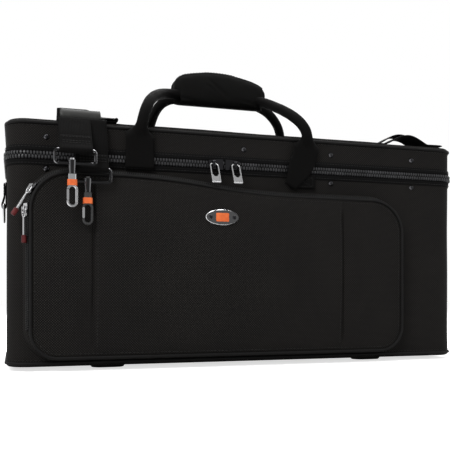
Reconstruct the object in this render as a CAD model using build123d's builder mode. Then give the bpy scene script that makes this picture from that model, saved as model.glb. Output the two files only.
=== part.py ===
"""Soft-sided flugelhorn case: a hinged lid, a front music pocket, two carrying handles and a shoulder strap.

X runs along the length, the front faces -Y and Z is up. The origin lies on the floor, under the middle of
everything, with the hooks that stand out in front counted in. The pieces are drawn about the middle of the
case's body and moved back by frame_y at the end. Sizes are in millimetres.
"""

import os
from math import atan2, cos, radians, sin

from build123d import *

# Case body
length = 578.0
depth = 185.0
foot_height = 5.0
seam_z = 243.0
top_z = 284.0
corner_radius = 24.0
edge_radius = 3.0
hidden_edge = 1.0
cover_wall = 1.6
board_wall = 5.0
padding_wall = 11.0
layer_gap = 0.1
seam_gap = 0.3
running_gap = 0.3
pin_gap = 0.08
half_length = length / 2
half_depth = depth / 2

# Piping sewn round the top and bottom edges
piping_proud = 2.2
piping_height = 3.6
piping_inset = 4.2

# Main zip and the fabric hinge at the back
tape_height = 11.0
tape_wall = 1.2
coil_height = 4.4
coil_wall = 2.4
hinge_tape_height = 26.0
hinge_tape_inset = 6.0

# Rivets
rivet_head = 7.0
rivet_height = 2.2
rivet_pitch = (length - 110.0) / 4
rivet_start = -half_length + 43.0
lid_rivet_z = seam_z + 21.0
base_rivet_z = seam_z - 15.0
base_rivet_places = (0, 3, 4)

# Feet
foot_length = 46.0
foot_width = 30.0
foot_x = half_length - 116.0
foot_y = half_depth - 36.5
foot_draft = 4.0
foot_screw_head = 9.0
foot_screw_height = 2.4
foot_screw_recess = 0.5

# Tabs and rings on the ends, which take the strap's hooks
tab_width = 25.0
tab_wall = 1.8
tab_height = 28.0
tab_loop_z = seam_z - 47.0
ring_wire = 3.0
d_ring_width = 32.0
d_ring_drop = 20.0

# Music pocket on the front
pocket_left = -half_length + 26.0
pocket_right = half_length - 91.0
pocket_bottom = 16.0
pocket_top_left = seam_z - 21.0
pocket_top_right = seam_z - 37.0
pocket_curve_start = pocket_left + 89.0
pocket_curve_end = pocket_right - 142.0
pocket_top_radius = 42.0
pocket_bottom_radius = 30.0
pocket_rim = 14.0
pocket_crown = 8.0
panel_wall = 2.6
gusset_wall = 1.8
band_width = 8.0
bottom_band = 4.6
band_split = 0.64
band_gap = 0.025
pocket_coil_start = 0.40
pocket_coil_proud = 1.8
pocket_piping_proud = 2.0
pocket_piping_height = 3.2
pleat_left = pocket_left + 70.0
pleat_right = pocket_right - 87.0
pleat_width = 3.0
pleat_depth = 1.2
pleat_end_gap = 12.0

# Name plate on the pocket, left bare
plate_x = (pocket_left + pocket_right) / 2 - 13.3
plate_z = pocket_top_left - 44.4
plate_length = 40.6
plate_height = 18.3
plate_wall = 1.8
inlay_length = 16.0
inlay_wall = 0.8
plate_screw_pitch = 29.0
plate_screw_head = 4.6
plate_screw_height = 0.9

# Carrying handles
arm_places = (-141.0, 65.0)
anchor_low = (seam_z - 12.0, seam_z - 23.5)
arm_width = 34.0
arm_wall = 2.4
anchor_wall = 2.0
anchor_high = seam_z - 5.6
knuckle_z = seam_z - 9.0
knuckle_radius = 1.9
arm_flat_high = seam_z + 21.0
tube_size = 13.0
tube_stand = 9.5
tube_low = top_z - 7.0
shoulder_z = top_z + 13.0
elbow_z = top_z + 46.0
elbow_y = half_depth - 37.5
elbow_inset = (22.0, 5.0)
entry_inset = (50.0, 20.0)
tube_core_z = top_z + 61.0
tube_core_y = 10.0
tube_bend = 18.0
grip_places = (-85.0, 43.0)
grip_low = top_z + 51.0
grip_high = top_z + 95.0
grip_half = 19.0
grip_parting = 0.2
grip_arch = 5.0
grip_corner = 13.0
grip_foot = 8.0
grip_toe = 6.0
grip_foot_radius = 9.0
grip_edge = 7.0
mouth_flare = 2.6
mouth_depth = 16.0

# Shoulder strap lying on the lid
strap_wall = 1.8
strap_width = 36.0
strap_lift = 0.3
strap_front_y = -half_depth + 24.5
strap_back_y = -half_depth + 72.5
strap_fold_x = half_length - 27.0
hump_span = (half_length - 103.0, half_length - 31.0)
hump_height = 14.0

# Ends of the shoulder strap, with their eyes and snap hooks
strap_axis_y = -half_depth - 4.5
strap_axis_z = top_z + 3.0
strap_knuckle = 1.5
strap_neck = 0.22
end_places = (-half_length + 73.2, -half_length + 91.5)
knuckle_spans = ((-half_length + 56.0, -half_length + 77.0), (-half_length + 81.0, -half_length + 109.0))
loop_y = (-half_depth - 33.5, -half_depth - 24.9)
loop_z = (seam_z + 1.0, seam_z - 17.0)
eye_centres = (-half_length + 72.5, -half_length + 90.0)
eye_width = 47.0
eye_wire = 3.4
eye_drop = 14.6
boss_radius = 4.4
boss_top = 3.4
boss_length = 15.0
boss_taper = 0.8
eye_rounding = 5.0
eye_hole_rounding = 1.2
block_edge = 1.6
hook_places = (-half_length + 69.0, -half_length + 86.5)
stem_radius = 1.8
hook_block_width = 8.6
hook_block_depth = 5.6
hook_block_height = 13.0
hook_width = 12.0
hook_wall = 5.0
hook_loop_height = 23.0
hook_bar = 2.8
hook_overlap = 2.0
stem_head = 1.8
gate_opening = 13.0
gate_rise = 1.0
gate_wall = 2.6
gate_depth = 3.6
band_height = 6.5
band_wall = 1.0

# Adjusters on the strap
adjuster_length = 46.0
adjuster_depth = 18.0
adjuster_wall = 4.0
adjuster_bar = 3.0
adjuster_tilt = 35.0
adjuster_places = (-half_length + 81.0, -half_length + 102.0)
adjuster_y = (-half_depth + 9.0, -half_depth + 34.5)

# Sliders and their pulls
slider_length = 18.0
slider_width = 12.4
slider_bridge_shift = -3.0
pocket_slider_length = 14.0
pocket_slider_width = 8.0
slider_wall = 1.5
slider_gap = 0.3
slider_leg = 1.4
main_slider_places = (-49.0, -28.0)
bridge_length = 8.0
bridge_width = 3.4
bridge_height = 3.6
bridge_root = 0.5
bridge_rounding = 1.4
pull_wire = 2.0
pull_width = 11.6
pull_drop = 27.0
pull_tilt = 28.0
pull_grip = 11.0
pull_grip_wall = 1.2
pocket_slider_angle = 149.0
pocket_slider_z = pocket_top_left - 42.0
pocket_pull_width = 8.0
pocket_pull_bow = 8.0
pocket_pull_length = 28.0
pull_rod = 2.4
tip_length = 9.0
tip_size = 5.6

# The middle of everything, from the hooks in front to the handle behind, lies over the origin
frame_y = (boss_radius - loop_y[0] - half_depth - tube_stand - tube_size / 2) / 2
os.makedirs("parts", exist_ok=True)


def finish(piece, name):
    """Move a finished piece into the case's frame, label it and write it to its own file."""
    placed = piece.moved(Location((0, frame_y, 0)))
    placed.label = name
    export_step(placed, f"parts/{name}.step")


def open_box(inset, low, high, wall, open_top):
    """A rounded tray or lid; inset is how far its outside lies within the cover's."""
    with BuildPart() as tray:
        with BuildSketch(Plane.XY.offset(low)):
            RectangleRounded(length - 2 * inset, depth - 2 * inset, corner_radius - inset)
        extrude(amount=high - low)
        closed_end = tray.faces().sort_by(Axis.Z)[0 if open_top else -1]
        fillet(closed_end.edges(), max(edge_radius - inset, hidden_edge))
        open_end = tray.faces().sort_by(Axis.Z)[-1 if open_top else 0]
        offset(amount=-wall, openings=open_end, kind=Kind.INTERSECTION)
    return tray.part


def hoop(inner, outer, low, high):
    """A flat-sided band round the case, between two distances outside the cover."""
    with BuildPart() as band:
        with BuildSketch(Plane.XY.offset(low)):
            RectangleRounded(length + 2 * outer, depth + 2 * outer, corner_radius + outer)
            RectangleRounded(length + 2 * inner, depth + 2 * inner, corner_radius + inner,
                             mode=Mode.SUBTRACT)
        extrude(amount=high - low)
    return band.part


# Base and lid, each a woven cover over a stiff board over padding
base_top = seam_z - seam_gap / 2
lid_low = seam_z + seam_gap / 2
board_inset = cover_wall + layer_gap
padding_inset = board_inset + board_wall + layer_gap
rim_step = 0.6

finish(open_box(0, foot_height, base_top, cover_wall, True), "base_cover")
finish(open_box(board_inset, foot_height + board_inset, base_top - rim_step, board_wall, True), "base_board")
finish(open_box(padding_inset, foot_height + padding_inset, base_top - 2 * rim_step, padding_wall, True),
       "base_padding")
finish(open_box(0, lid_low, top_z, cover_wall, False), "lid_cover")
finish(open_box(board_inset, lid_low + rim_step, top_z - board_inset, board_wall, False), "lid_board")
finish(open_box(padding_inset, lid_low + 2 * rim_step, top_z - padding_inset, padding_wall, False),
       "lid_padding")

# Shaped blocks that hold the horn inside the base
cavity_inset = padding_inset + padding_wall
block_gap = 0.3
block_low = foot_height + cavity_inset + block_gap
block_depth = depth - 2 * cavity_inset - 2 * block_gap
cavity_end = half_length - cavity_inset - block_gap
bell_block_length = 62.0
bell_block_height = 118.0
bell_seat = 148.0
bell_seat_lift = 16.0
valve_block_length = 54.0
valve_block_height = 92.0
valve_block_x = 24.0
valve_seat_width = 76.0
valve_seat_floor = 30.0
mouthpiece_block_length = 72.0
mouthpiece_block_height = 150.0
mouthpiece_bore = 27.0
mouthpiece_depth = 76.0
mouthpiece_pitch = 60.0
block_rounding = max(corner_radius - cavity_inset, 1.0)
seat_rounding = 12.0

with BuildPart() as bell_block:
    bell_block_x = -cavity_end + bell_block_length / 2
    with BuildSketch(Plane.XY.offset(block_low)):
        with Locations((bell_block_x, 0)):
            RectangleRounded(bell_block_length, block_depth, block_rounding)
    extrude(amount=bell_block_height)
    with BuildSketch(Plane.YZ.offset(bell_block_x - bell_block_length)):
        with Locations((0, block_low + bell_block_height + bell_seat_lift)):
            Circle(bell_seat / 2)
    extrude(amount=2 * bell_block_length, mode=Mode.SUBTRACT)
finish(bell_block.part, "bell_block")

with BuildPart() as valve_block:
    with BuildSketch(Plane.XY.offset(block_low)):
        with Locations((valve_block_x, 0)):
            RectangleRounded(valve_block_length, block_depth, block_rounding)
    extrude(amount=valve_block_height)
    seat_height = 2 * (valve_block_height - valve_seat_floor)
    with BuildSketch(Plane.YZ.offset(valve_block_x - valve_block_length)):
        with Locations((0, block_low + valve_block_height)):
            RectangleRounded(valve_seat_width, seat_height, seat_rounding)
    extrude(amount=2 * valve_block_length, mode=Mode.SUBTRACT)
finish(valve_block.part, "valve_block")

with BuildPart() as mouthpiece_block:
    mouthpiece_block_x = cavity_end - mouthpiece_block_length / 2
    with BuildSketch(Plane.XY.offset(block_low)):
        with Locations((mouthpiece_block_x, 0)):
            RectangleRounded(mouthpiece_block_length, block_depth, block_rounding)
    extrude(amount=mouthpiece_block_height)
    with Locations(Plane.XY.offset(block_low + mouthpiece_block_height)):
        with Locations((mouthpiece_block_x, 0)):
            with GridLocations(1, mouthpiece_pitch, 1, 2):
                Hole(mouthpiece_bore / 2, mouthpiece_depth)
finish(mouthpiece_block.part, "mouthpiece_block")


def case_piping(z):
    """Cord sewn into the edge seam: a bead round the cover with its outer corners taken off."""
    with BuildPart() as bead:
        add(hoop(layer_gap, piping_proud, z - piping_height / 2, z + piping_height / 2))
        ends = bead.faces().filter_by(Axis.Z)
        chamfer([edge for face in ends for edge in face.outer_wire().edges()], piping_proud * 0.45)
    return bead.part


finish(case_piping(foot_height + piping_inset), "base_piping")
finish(case_piping(top_z - piping_inset), "lid_piping")

# The main zip runs along the front and both ends
zip_end_y = half_depth - corner_radius - 4.0
tape_out = layer_gap + tape_wall
coil_out = tape_out + coil_wall


def zip_half(low, high, coil_low, coil_high):
    """One half of the main zip: tape on the cover, with its coil along the meeting edge."""
    with BuildPart() as half:
        add(hoop(layer_gap, tape_out, low, high))
        add(hoop(layer_gap, coil_out, coil_low, coil_high))
        with BuildSketch(Plane.XY.offset(low - 1)):
            with Locations((0, zip_end_y + half_depth)):
                Rectangle(2 * length, depth)
        extrude(amount=high - low + 2, mode=Mode.SUBTRACT)
    return half.part


finish(zip_half(seam_z - tape_height, base_top, base_top - coil_height, base_top), "base_zip")
finish(zip_half(lid_low, seam_z + tape_height, lid_low, lid_low + coil_height), "lid_zip")


def hinge_tape(low, high):
    """One half of the sewn fabric hinge on the back wall."""
    with BuildPart() as tape:
        with BuildSketch(Plane.XZ.offset(-half_depth - layer_gap)):
            with Locations((0, (low + high) / 2)):
                Rectangle(length - 2 * (corner_radius + hinge_tape_inset), high - low)
        extrude(amount=-tape_wall)
    return tape.part


finish(hinge_tape(seam_z - hinge_tape_height, base_top), "base_hinge_tape")
finish(hinge_tape(lid_low, seam_z + hinge_tape_height), "lid_hinge_tape")


def rivet_row(z, places):
    """Domed rivet heads in a row on the front."""
    dome = (rivet_head**2 / 4 + rivet_height**2) / (2 * rivet_height)
    face_y = half_depth + layer_gap
    with BuildPart() as rivets:
        for place in places:
            x = rivet_start + rivet_pitch * place
            section = Plane(origin=(x, -face_y, z), x_dir=(1, 0, 0), z_dir=(0, 0, 1))
            with BuildSketch(section):
                with BuildLine():
                    base = Line((0, 0), (rivet_head / 2, 0))
                    RadiusArc(base @ 1, (0, -rivet_height), dome)
                    Line((0, -rivet_height), (0, 0))
                make_face()
            revolve(axis=Axis((x, -face_y, z), (0, 1, 0)))
    return rivets.part


finish(rivet_row(lid_rivet_z, range(5)), "lid_rivets")
finish(rivet_row(base_rivet_z, base_rivet_places), "base_rivets")

# Four low feet with their screws
foot_spots = [(side_x * foot_x, side_y * foot_y) for side_x in (-1, 1) for side_y in (-1, 1)]
foot_top = foot_height - layer_gap


def foot(spot):
    """One low foot, wider where it meets the case, with a counterbored screw hole from below."""
    with BuildPart() as pad:
        with BuildSketch(Plane.XY):
            with Locations(spot):
                SlotOverall(foot_length - 2 * foot_draft, foot_width - 2 * foot_draft)
        with BuildSketch(Plane.XY.offset(foot_top)):
            with Locations(spot):
                SlotOverall(foot_length, foot_width)
        loft(ruled=True)
        with Locations(Plane(origin=(*spot, 0), z_dir=(0, 0, -1))):
            CounterBoreHole(foot_screw_head / 4, foot_screw_head / 2,
                            foot_screw_height + foot_screw_recess + layer_gap)
    return pad.part


with BuildPart() as feet:
    for spot in foot_spots:
        add(foot(spot))
finish(feet.part, "feet")

with BuildPart() as foot_screws:
    with BuildSketch(Plane.XY.offset(foot_screw_recess)):
        with Locations(*foot_spots):
            Circle(foot_screw_head / 2 - layer_gap)
    extrude(amount=foot_screw_height)
    with BuildSketch(Plane.XY.offset(foot_screw_recess + foot_screw_height)):
        with Locations(*foot_spots):
            Circle(foot_screw_head / 4 - layer_gap)
    extrude(amount=foot_top - foot_screw_height - foot_screw_recess)
finish(foot_screws.part, "foot_screws")

# Webbing tabs on the ends, each folded round the bar of its ring
tab_bore = ring_wire / 2 + layer_gap
tab_bar_x = half_length + layer_gap + tab_wall + tab_bore


def end_tab(side):
    """Webbing sewn to one end, with a loop at its foot."""
    with BuildPart() as tab:
        with BuildSketch(Plane.XZ.offset(-tab_width / 2)):
            with Locations((side * (half_length + layer_gap + tab_wall / 2), tab_loop_z + tab_height / 2)):
                Rectangle(tab_wall, tab_height)
            with Locations((side * tab_bar_x, tab_loop_z)):
                Circle(tab_bore + tab_wall)
                Circle(tab_bore, mode=Mode.SUBTRACT)
        extrude(amount=tab_width)
        with BuildSketch(Plane.XZ.offset(-tab_width)):
            with Locations((side * (half_length - length / 4 + layer_gap), tab_loop_z)):
                Rectangle(length / 2, 4 * tab_height)
        extrude(amount=2 * tab_width, mode=Mode.SUBTRACT)
    return tab.part


with BuildPart() as end_tabs:
    add(end_tab(-1))
    add(end_tab(1))
finish(end_tabs.part, "end_tabs")


def wire_bow(hang, wire, width, drop, corner):
    """A closed bow of wire: a straight bar along the plane's x axis, two legs and a round end below."""
    half = (width - wire) / 2
    with BuildPart() as bow:
        with BuildLine(hang):
            bar = Line((corner - half, 0), (half - corner, 0))
            RadiusArc(bar @ 1, (half, -corner), corner)
            leg = Line((half, -corner), (half, half - drop))
            ThreePointArc(leg @ 1, (0, -drop), (-half, half - drop))
            leg = Line((-half, half - drop), (-half, -corner))
            RadiusArc(leg @ 1, bar @ 0, corner)
        with BuildSketch(Plane(origin=bar @ 0, z_dir=bar % 0)):
            Circle(wire / 2)
        sweep()
    return bow.part


def d_ring(side):
    """A wire ring with its straight bar in the tab and a round bow below."""
    hang = Plane(origin=(side * tab_bar_x, 0, tab_loop_z), x_dir=(0, side, 0), z_dir=(side, 0, 0))
    return wire_bow(hang, ring_wire, d_ring_width + ring_wire, d_ring_drop, ring_wire * 0.6)


finish(d_ring(-1), "d_ring_left")
finish(d_ring(1), "d_ring_right")


def pocket_face(grow, grow_bottom):
    """The pocket's outline as a flat face, grown outwards by a distance; its top edge falls in an S."""
    left, right, bottom = pocket_left - grow, pocket_right + grow, pocket_bottom - grow_bottom
    top_left, top_right = pocket_top_left + grow, pocket_top_right + grow
    top_turn, bottom_turn = pocket_top_radius + grow, pocket_bottom_radius + grow
    fall, span = pocket_top_left - pocket_top_right, pocket_curve_end - pocket_curve_start
    slant = 2 * atan2(fall, span)
    curve_middle = ((pocket_curve_start + pocket_curve_end) / 2 + grow * sin(slant),
                    (pocket_top_left + pocket_top_right) / 2 + grow * cos(slant))
    with BuildSketch() as outline:
        with BuildLine():
            low = Line((left + bottom_turn, bottom), (right - bottom_turn, bottom))
            turn = TangentArc(low @ 1, (right, bottom + bottom_turn), tangent=low % 1)
            side = Line(turn @ 1, (right, top_right - top_turn))
            turn = TangentArc(side @ 1, (right - top_turn, top_right), tangent=side % 1)
            top = Line(turn @ 1, (pocket_curve_end, top_right))
            rise = TangentArc(top @ 1, curve_middle, tangent=top % 1)
            crest = TangentArc(rise @ 1, (pocket_curve_start, top_left), tangent=rise % 1)
            top = Line(crest @ 1, (left + top_turn, top_left))
            turn = TangentArc(top @ 1, (left, top_left - top_turn), tangent=top % 1)
            side = Line(turn @ 1, (left, bottom + bottom_turn))
            TangentArc(side @ 1, low @ 0, tangent=side % 1)
        make_face()
    return outline.sketch


def collar(start, end, inner, outer):
    """Part of the pocket's sloping band, from one share of its depth to another.

    inner and outer are distances from the slope's surface, measured across the front.
    """
    with BuildPart() as band:
        for reach, mode in ((outer, Mode.ADD), (inner, Mode.SUBTRACT)):
            for share in (start, end):
                with BuildSketch(Plane.XZ.offset(half_depth + layer_gap + share * pocket_rim)):
                    add(pocket_face(band_width * (1 - share) + reach, bottom_band * (1 - share) + reach))
            loft(ruled=True, mode=mode)
    return band.part


# Pocket: the collar fixed to the case, and the zip half sewn to it
outer_end = band_split - band_gap
inner_start = band_split + band_gap
pocket_zip_low = pocket_bottom + pocket_bottom_radius / 2
finish(collar(0, outer_end, -gusset_wall, 0), "pocket_gusset")


def pocket_zip(start, end):
    """One row of the pocket's zip along its left side, top and right side."""
    with BuildPart() as row:
        add(collar(start, end, layer_gap, pocket_coil_proud))
        with BuildSketch(Plane.XY.offset(pocket_zip_low)):
            Rectangle(2 * length, 2 * depth)
        extrude(amount=-pocket_zip_low, mode=Mode.SUBTRACT)
    return row.part


finish(pocket_zip(pocket_coil_start, outer_end), "pocket_outer_zip")
finish(pocket_zip(inner_start, 2 * band_split - pocket_coil_start), "pocket_inner_zip")

# Front panel of the pocket: crowned both ways, with a sewn skirt and two pleat seams
rim_y = half_depth + layer_gap + pocket_rim
panel_middle_x = (pocket_left + pocket_right) / 2
panel_middle_z = (pocket_bottom + pocket_top_left) / 2
crown_edge = 0.4
half_rise = (pocket_top_left - pocket_bottom) / 2
half_span = (pocket_right - pocket_left) / 2
rise_radius = (half_rise**2 + pocket_crown**2) / (2 * pocket_crown)
span_radius = (half_span**2 + pocket_crown**2) / (2 * pocket_crown)
crown_y = rim_y + crown_edge + pocket_crown


def crowned(inset, low_y, skin):
    """A slab with the pocket's outline, crowned both ways, its front that far within the panel's."""
    with BuildPart() as slab:
        with BuildSketch(Plane.XZ.offset(low_y)):
            add(pocket_face(-inset, -inset))
        extrude(amount=crown_y + pocket_crown - low_y)
        with BuildSketch(Plane.YZ.offset(-length)):
            with Locations((rise_radius - crown_y, panel_middle_z)):
                Circle(rise_radius - skin)
        extrude(amount=2 * length, mode=Mode.INTERSECT)
        with BuildSketch(Plane.XY):
            with Locations((panel_middle_x, span_radius - crown_y)):
                Circle(span_radius - skin)
        extrude(amount=top_z, mode=Mode.INTERSECT)
    return slab.part


def pleat_groove(x):
    """A shallow sewn groove up the panel that follows its crown."""
    with BuildPart() as groove:
        with BuildSketch(Plane.XY.offset(pocket_bottom + pleat_end_gap)):
            with Locations((x, -crown_y)):
                Rectangle(pleat_width, 2 * pocket_crown + 4)
        extrude(amount=pocket_top_right - pocket_bottom - 2 * pleat_end_gap)
        add(crowned(0, rim_y - panel_wall, pleat_depth), mode=Mode.SUBTRACT)
    return groove.part


with BuildPart() as pocket_panel:
    add(crowned(0, rim_y - panel_wall, 0))
    add(crowned(panel_wall, rim_y - panel_wall, panel_wall), mode=Mode.SUBTRACT)
    add(collar(inner_start, 1, -panel_wall, 0))
    add(pleat_groove(pleat_left), mode=Mode.SUBTRACT)
    add(pleat_groove(pleat_right), mode=Mode.SUBTRACT)
finish(pocket_panel.part, "pocket_panel")

with BuildPart() as pocket_piping:
    with BuildSketch(Plane.XZ.offset(rim_y - layer_gap)):
        add(pocket_face(pocket_piping_proud, pocket_piping_proud))
        add(pocket_face(layer_gap, layer_gap), mode=Mode.SUBTRACT)
    extrude(amount=pocket_piping_height)
    piping_ends = pocket_piping.faces().filter_by(Axis.Y)
    chamfer([edge for face in piping_ends for edge in face.outer_wire().edges()], pocket_piping_proud * 0.4)
finish(pocket_piping.part, "pocket_piping")

# Oval name plate, left bare, with a coloured inlay and two screws
plate_low = plate_z - plate_height / 2
plate_y = crown_y - (plate_low - panel_middle_z) ** 2 / (2 * rise_radius) + layer_gap
plate_front = plate_y + plate_wall

with BuildPart() as badge_plate:
    with BuildSketch(Plane.XZ.offset(plate_y)):
        with Locations((plate_x, plate_z)):
            Ellipse(plate_length / 2, plate_height / 2)
    extrude(amount=plate_wall)
    chamfer(badge_plate.faces().sort_by(Axis.Y)[0].edges(), 0.6)
    with BuildSketch(Plane.XZ.offset(plate_front - inlay_wall)):
        with Locations((plate_x, plate_z)):
            RectangleRounded(inlay_length, plate_height * 0.56, 1)
    extrude(amount=inlay_wall, mode=Mode.SUBTRACT)
finish(badge_plate.part, "badge_plate")

with BuildPart() as badge_inlay:
    with BuildSketch(Plane.XZ.offset(plate_front - inlay_wall)):
        with Locations((plate_x, plate_z)):
            RectangleRounded(inlay_length - 2 * layer_gap, plate_height * 0.56 - 2 * layer_gap, 1)
    extrude(amount=inlay_wall + 0.2)
finish(badge_inlay.part, "badge_inlay")

with BuildPart() as badge_screws:
    with BuildSketch(Plane.XZ.offset(plate_front + 0.02)):
        with Locations((plate_x, plate_z)):
            with GridLocations(plate_screw_pitch, 1, 2, 1):
                Circle(plate_screw_head / 2)
    extrude(amount=plate_screw_height)
    chamfer(badge_screws.faces().sort_by(Axis.Y)[:2].edges(), plate_screw_height / 3)
finish(badge_screws.part, "badge_screws")


def facing(side):
    """A plane seen from the front (side -1) or the back (side 1), with its depth measured outwards."""
    return Plane(origin=(0, 0, 0), x_dir=(1, 0, 0) if side < 0 else (-1, 0, 0), z_dir=(0, side, 0))


# Handle anchors: webbing sewn over the tape under each end of a handle
anchor_face = half_depth + tape_out + layer_gap
knuckle_out = anchor_face + anchor_wall + running_gap + knuckle_radius


def handle_anchors(side):
    """Two sewn patches that carry one handle."""
    backing_high = seam_z - (tape_height if side < 0 else hinge_tape_height) - layer_gap
    with BuildPart() as anchors:
        for x, low in zip(arm_places, anchor_low):
            with BuildSketch(facing(side).offset(anchor_face)):
                with Locations((-side * x, (low + anchor_high) / 2)):
                    RectangleRounded(arm_width, anchor_high - low, 1.5)
            extrude(amount=anchor_wall)
            if backing_high - low > 2:
                with BuildSketch(facing(side).offset(half_depth + layer_gap)):
                    with Locations((-side * x, (low + backing_high) / 2)):
                        Rectangle(arm_width, backing_high - low)
                extrude(amount=anchor_face - half_depth - layer_gap)
    return anchors.part


finish(handle_anchors(-1), "front_anchors")
finish(handle_anchors(1), "rear_anchors")


def handle(side):
    """One carrying handle: flat webbing at both ends that closes round a core and rises to the grip."""
    tube_y = half_depth + tube_stand
    left, right = arm_places
    route = [(left, side * tube_y, tube_low), (left, side * (tube_y - 0.5), shoulder_z),
             (left + elbow_inset[0], side * elbow_y, elbow_z),
             (left + entry_inset[0], side * tube_core_y, tube_core_z),
             (right - entry_inset[1], side * tube_core_y, tube_core_z),
             (right - elbow_inset[1], side * elbow_y, elbow_z),
             (right, side * (tube_y - 0.5), shoulder_z), (right, side * tube_y, tube_low)]
    with BuildPart() as loop:
        with BuildLine() as path:
            FilletPolyline(*route, radius=tube_bend)
        with BuildSketch(Plane(origin=path.line @ 0, z_dir=path.line % 0)):
            Circle(tube_size / 2)
        sweep(path=path.line)
        for x in arm_places:
            with BuildSketch(Plane.XY.offset(arm_flat_high)):
                with Locations((x, side * knuckle_out)):
                    Rectangle(arm_width, arm_wall)
            with BuildSketch(Plane.XY.offset(tube_low)):
                with Locations((x, side * tube_y)):
                    Rectangle(tube_size * 0.86, tube_size * 0.86)
            loft(ruled=True)
            with BuildSketch(Plane.XY.offset(knuckle_z)):
                with Locations((x, side * knuckle_out)):
                    Rectangle(arm_width, arm_wall)
            extrude(amount=arm_flat_high - knuckle_z)
            with BuildSketch(Plane.YZ.offset(x - arm_width / 2)):
                with Locations((side * knuckle_out, knuckle_z)):
                    Circle(knuckle_radius)
            extrude(amount=arm_width)
    return loop.part


finish(handle(-1), "front_handle")
finish(handle(1), "rear_handle")


def grip_shell(side):
    """Half of the wrap round both handles, arched along its top and open round its own tube."""
    left, right = grip_places
    middle = (left + right) / 2
    waist = 2.0
    shoulder_high = grip_high - grip_arch + 1
    with BuildPart() as shell:
        with BuildSketch(Plane.XZ):
            with BuildLine():
                low = Line((left + grip_toe, grip_low), (right - grip_toe, grip_low))
                low_end = RadiusArc(low @ 1, (right, grip_low + grip_foot), -grip_foot_radius)
                rise = Line(low_end @ 1, (right - waist, shoulder_high - grip_corner))
                top_end = RadiusArc(rise @ 1, (right - waist - grip_corner + 1, shoulder_high), -grip_corner)
                crest = ThreePointArc(top_end @ 1, (middle, grip_high),
                                      (left + waist + grip_corner - 1, shoulder_high))
                far_end = RadiusArc(crest @ 1, (left + waist, shoulder_high - grip_corner), -grip_corner)
                fall = Line(far_end @ 1, (left, grip_low + grip_foot))
                RadiusArc(fall @ 1, low @ 0, -grip_foot_radius)
            make_face()
        extrude(amount=grip_half if side < 0 else -grip_half)
        outer = shell.faces().sort_by(Axis.Y)[0 if side < 0 else -1]
        chamfer(outer.edges(), grip_edge)
        with BuildSketch(Plane.XZ):
            with Locations((middle, (grip_low + grip_high) / 2)):
                Rectangle(length, 4 * grip_half)
        extrude(amount=grip_parting if side < 0 else -grip_parting, mode=Mode.SUBTRACT)
        with BuildSketch(Plane.YZ.offset(left - 20)):
            with Locations((side * tube_core_y, tube_core_z)):
                Circle(tube_size / 2 + layer_gap)
        extrude(amount=right - left + 40, mode=Mode.SUBTRACT)
        for mouth, way in ((left, 1), (right, -1)):
            with BuildSketch(Plane.YZ.offset(mouth)):
                with Locations((side * tube_core_y, tube_core_z)):
                    Circle(tube_size / 2 + layer_gap + mouth_flare)
            with BuildSketch(Plane.YZ.offset(mouth + way * mouth_depth)):
                with Locations((side * tube_core_y, tube_core_z)):
                    Circle(tube_size / 2 + layer_gap)
            loft(mode=Mode.SUBTRACT)
    return shell.part


finish(grip_shell(-1), "grip_front")
finish(grip_shell(1), "grip_rear")

# Shoulder strap: two runs lying on the lid, joined by a fold, with a hump near the right end
strap_low = top_z + strap_lift
strap_left = end_places[0] - strap_width / 2
strap_fold_edge = strap_fold_x + strap_width / 2 - 14.0
hump_rise = (hump_span[1] - hump_span[0]) / 2
strap_end_y = strap_axis_y + strap_knuckle + running_gap
strap_tail_right = end_places[1] + strap_width / 2

with BuildPart() as shoulder_strap:
    with BuildSketch(Plane.XY.offset(strap_low)):
        with Locations(((strap_left + strap_fold_edge) / 2, strap_back_y)):
            RectangleRounded(strap_fold_edge - strap_left, strap_width, 4)
        with Locations(((strap_fold_x + strap_fold_edge) / 2 - 10, (strap_front_y + strap_back_y) / 2)):
            RectangleRounded(strap_width, strap_back_y - strap_front_y + strap_width, 6)
        with Locations(((strap_left + hump_span[0]) / 2, strap_front_y)):
            Rectangle(hump_span[0] - strap_left, strap_width)
        with Locations(((strap_left + strap_tail_right) / 2, (strap_end_y + strap_front_y) / 2)):
            Rectangle(strap_tail_right - strap_left, strap_front_y - strap_end_y)
    extrude(amount=strap_wall)
    with BuildSketch(Plane.XZ.offset(-strap_front_y - strap_width / 2)):
        with BuildLine():
            hump_middle = sum(hump_span) / 2
            toe = Line((hump_span[0] - 6, strap_low), (hump_span[0], strap_low))
            climb = TangentArc(toe @ 1, (hump_middle - hump_rise / 2, strap_low + hump_height / 2),
                               tangent=toe % 1)
            crest = TangentArc(climb @ 1, (hump_middle, strap_low + hump_height), tangent=climb % 1)
            fall = TangentArc(crest @ 1, (hump_middle + hump_rise / 2, strap_low + hump_height / 2),
                              tangent=crest % 1)
            heel = TangentArc(fall @ 1, (hump_span[1], strap_low), tangent=fall % 1)
            offset(amount=strap_wall, side=Side.LEFT)
        make_face()
    extrude(amount=strap_width)
finish(shoulder_strap.part, "shoulder_strap")


def adjuster_seat(x, y):
    """Middle of an adjuster that stands on the strap with its back edge raised."""
    rise = adjuster_depth / 2 * sin(radians(adjuster_tilt)) + adjuster_wall / 2 * cos(radians(adjuster_tilt))
    middle_z = strap_low + strap_wall + running_gap + rise
    outward = Vector(0, 0, 1).rotate(Axis.X, adjuster_tilt)
    return Plane(origin=(x, y, middle_z), x_dir=(1, 0, 0), z_dir=outward)


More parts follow.
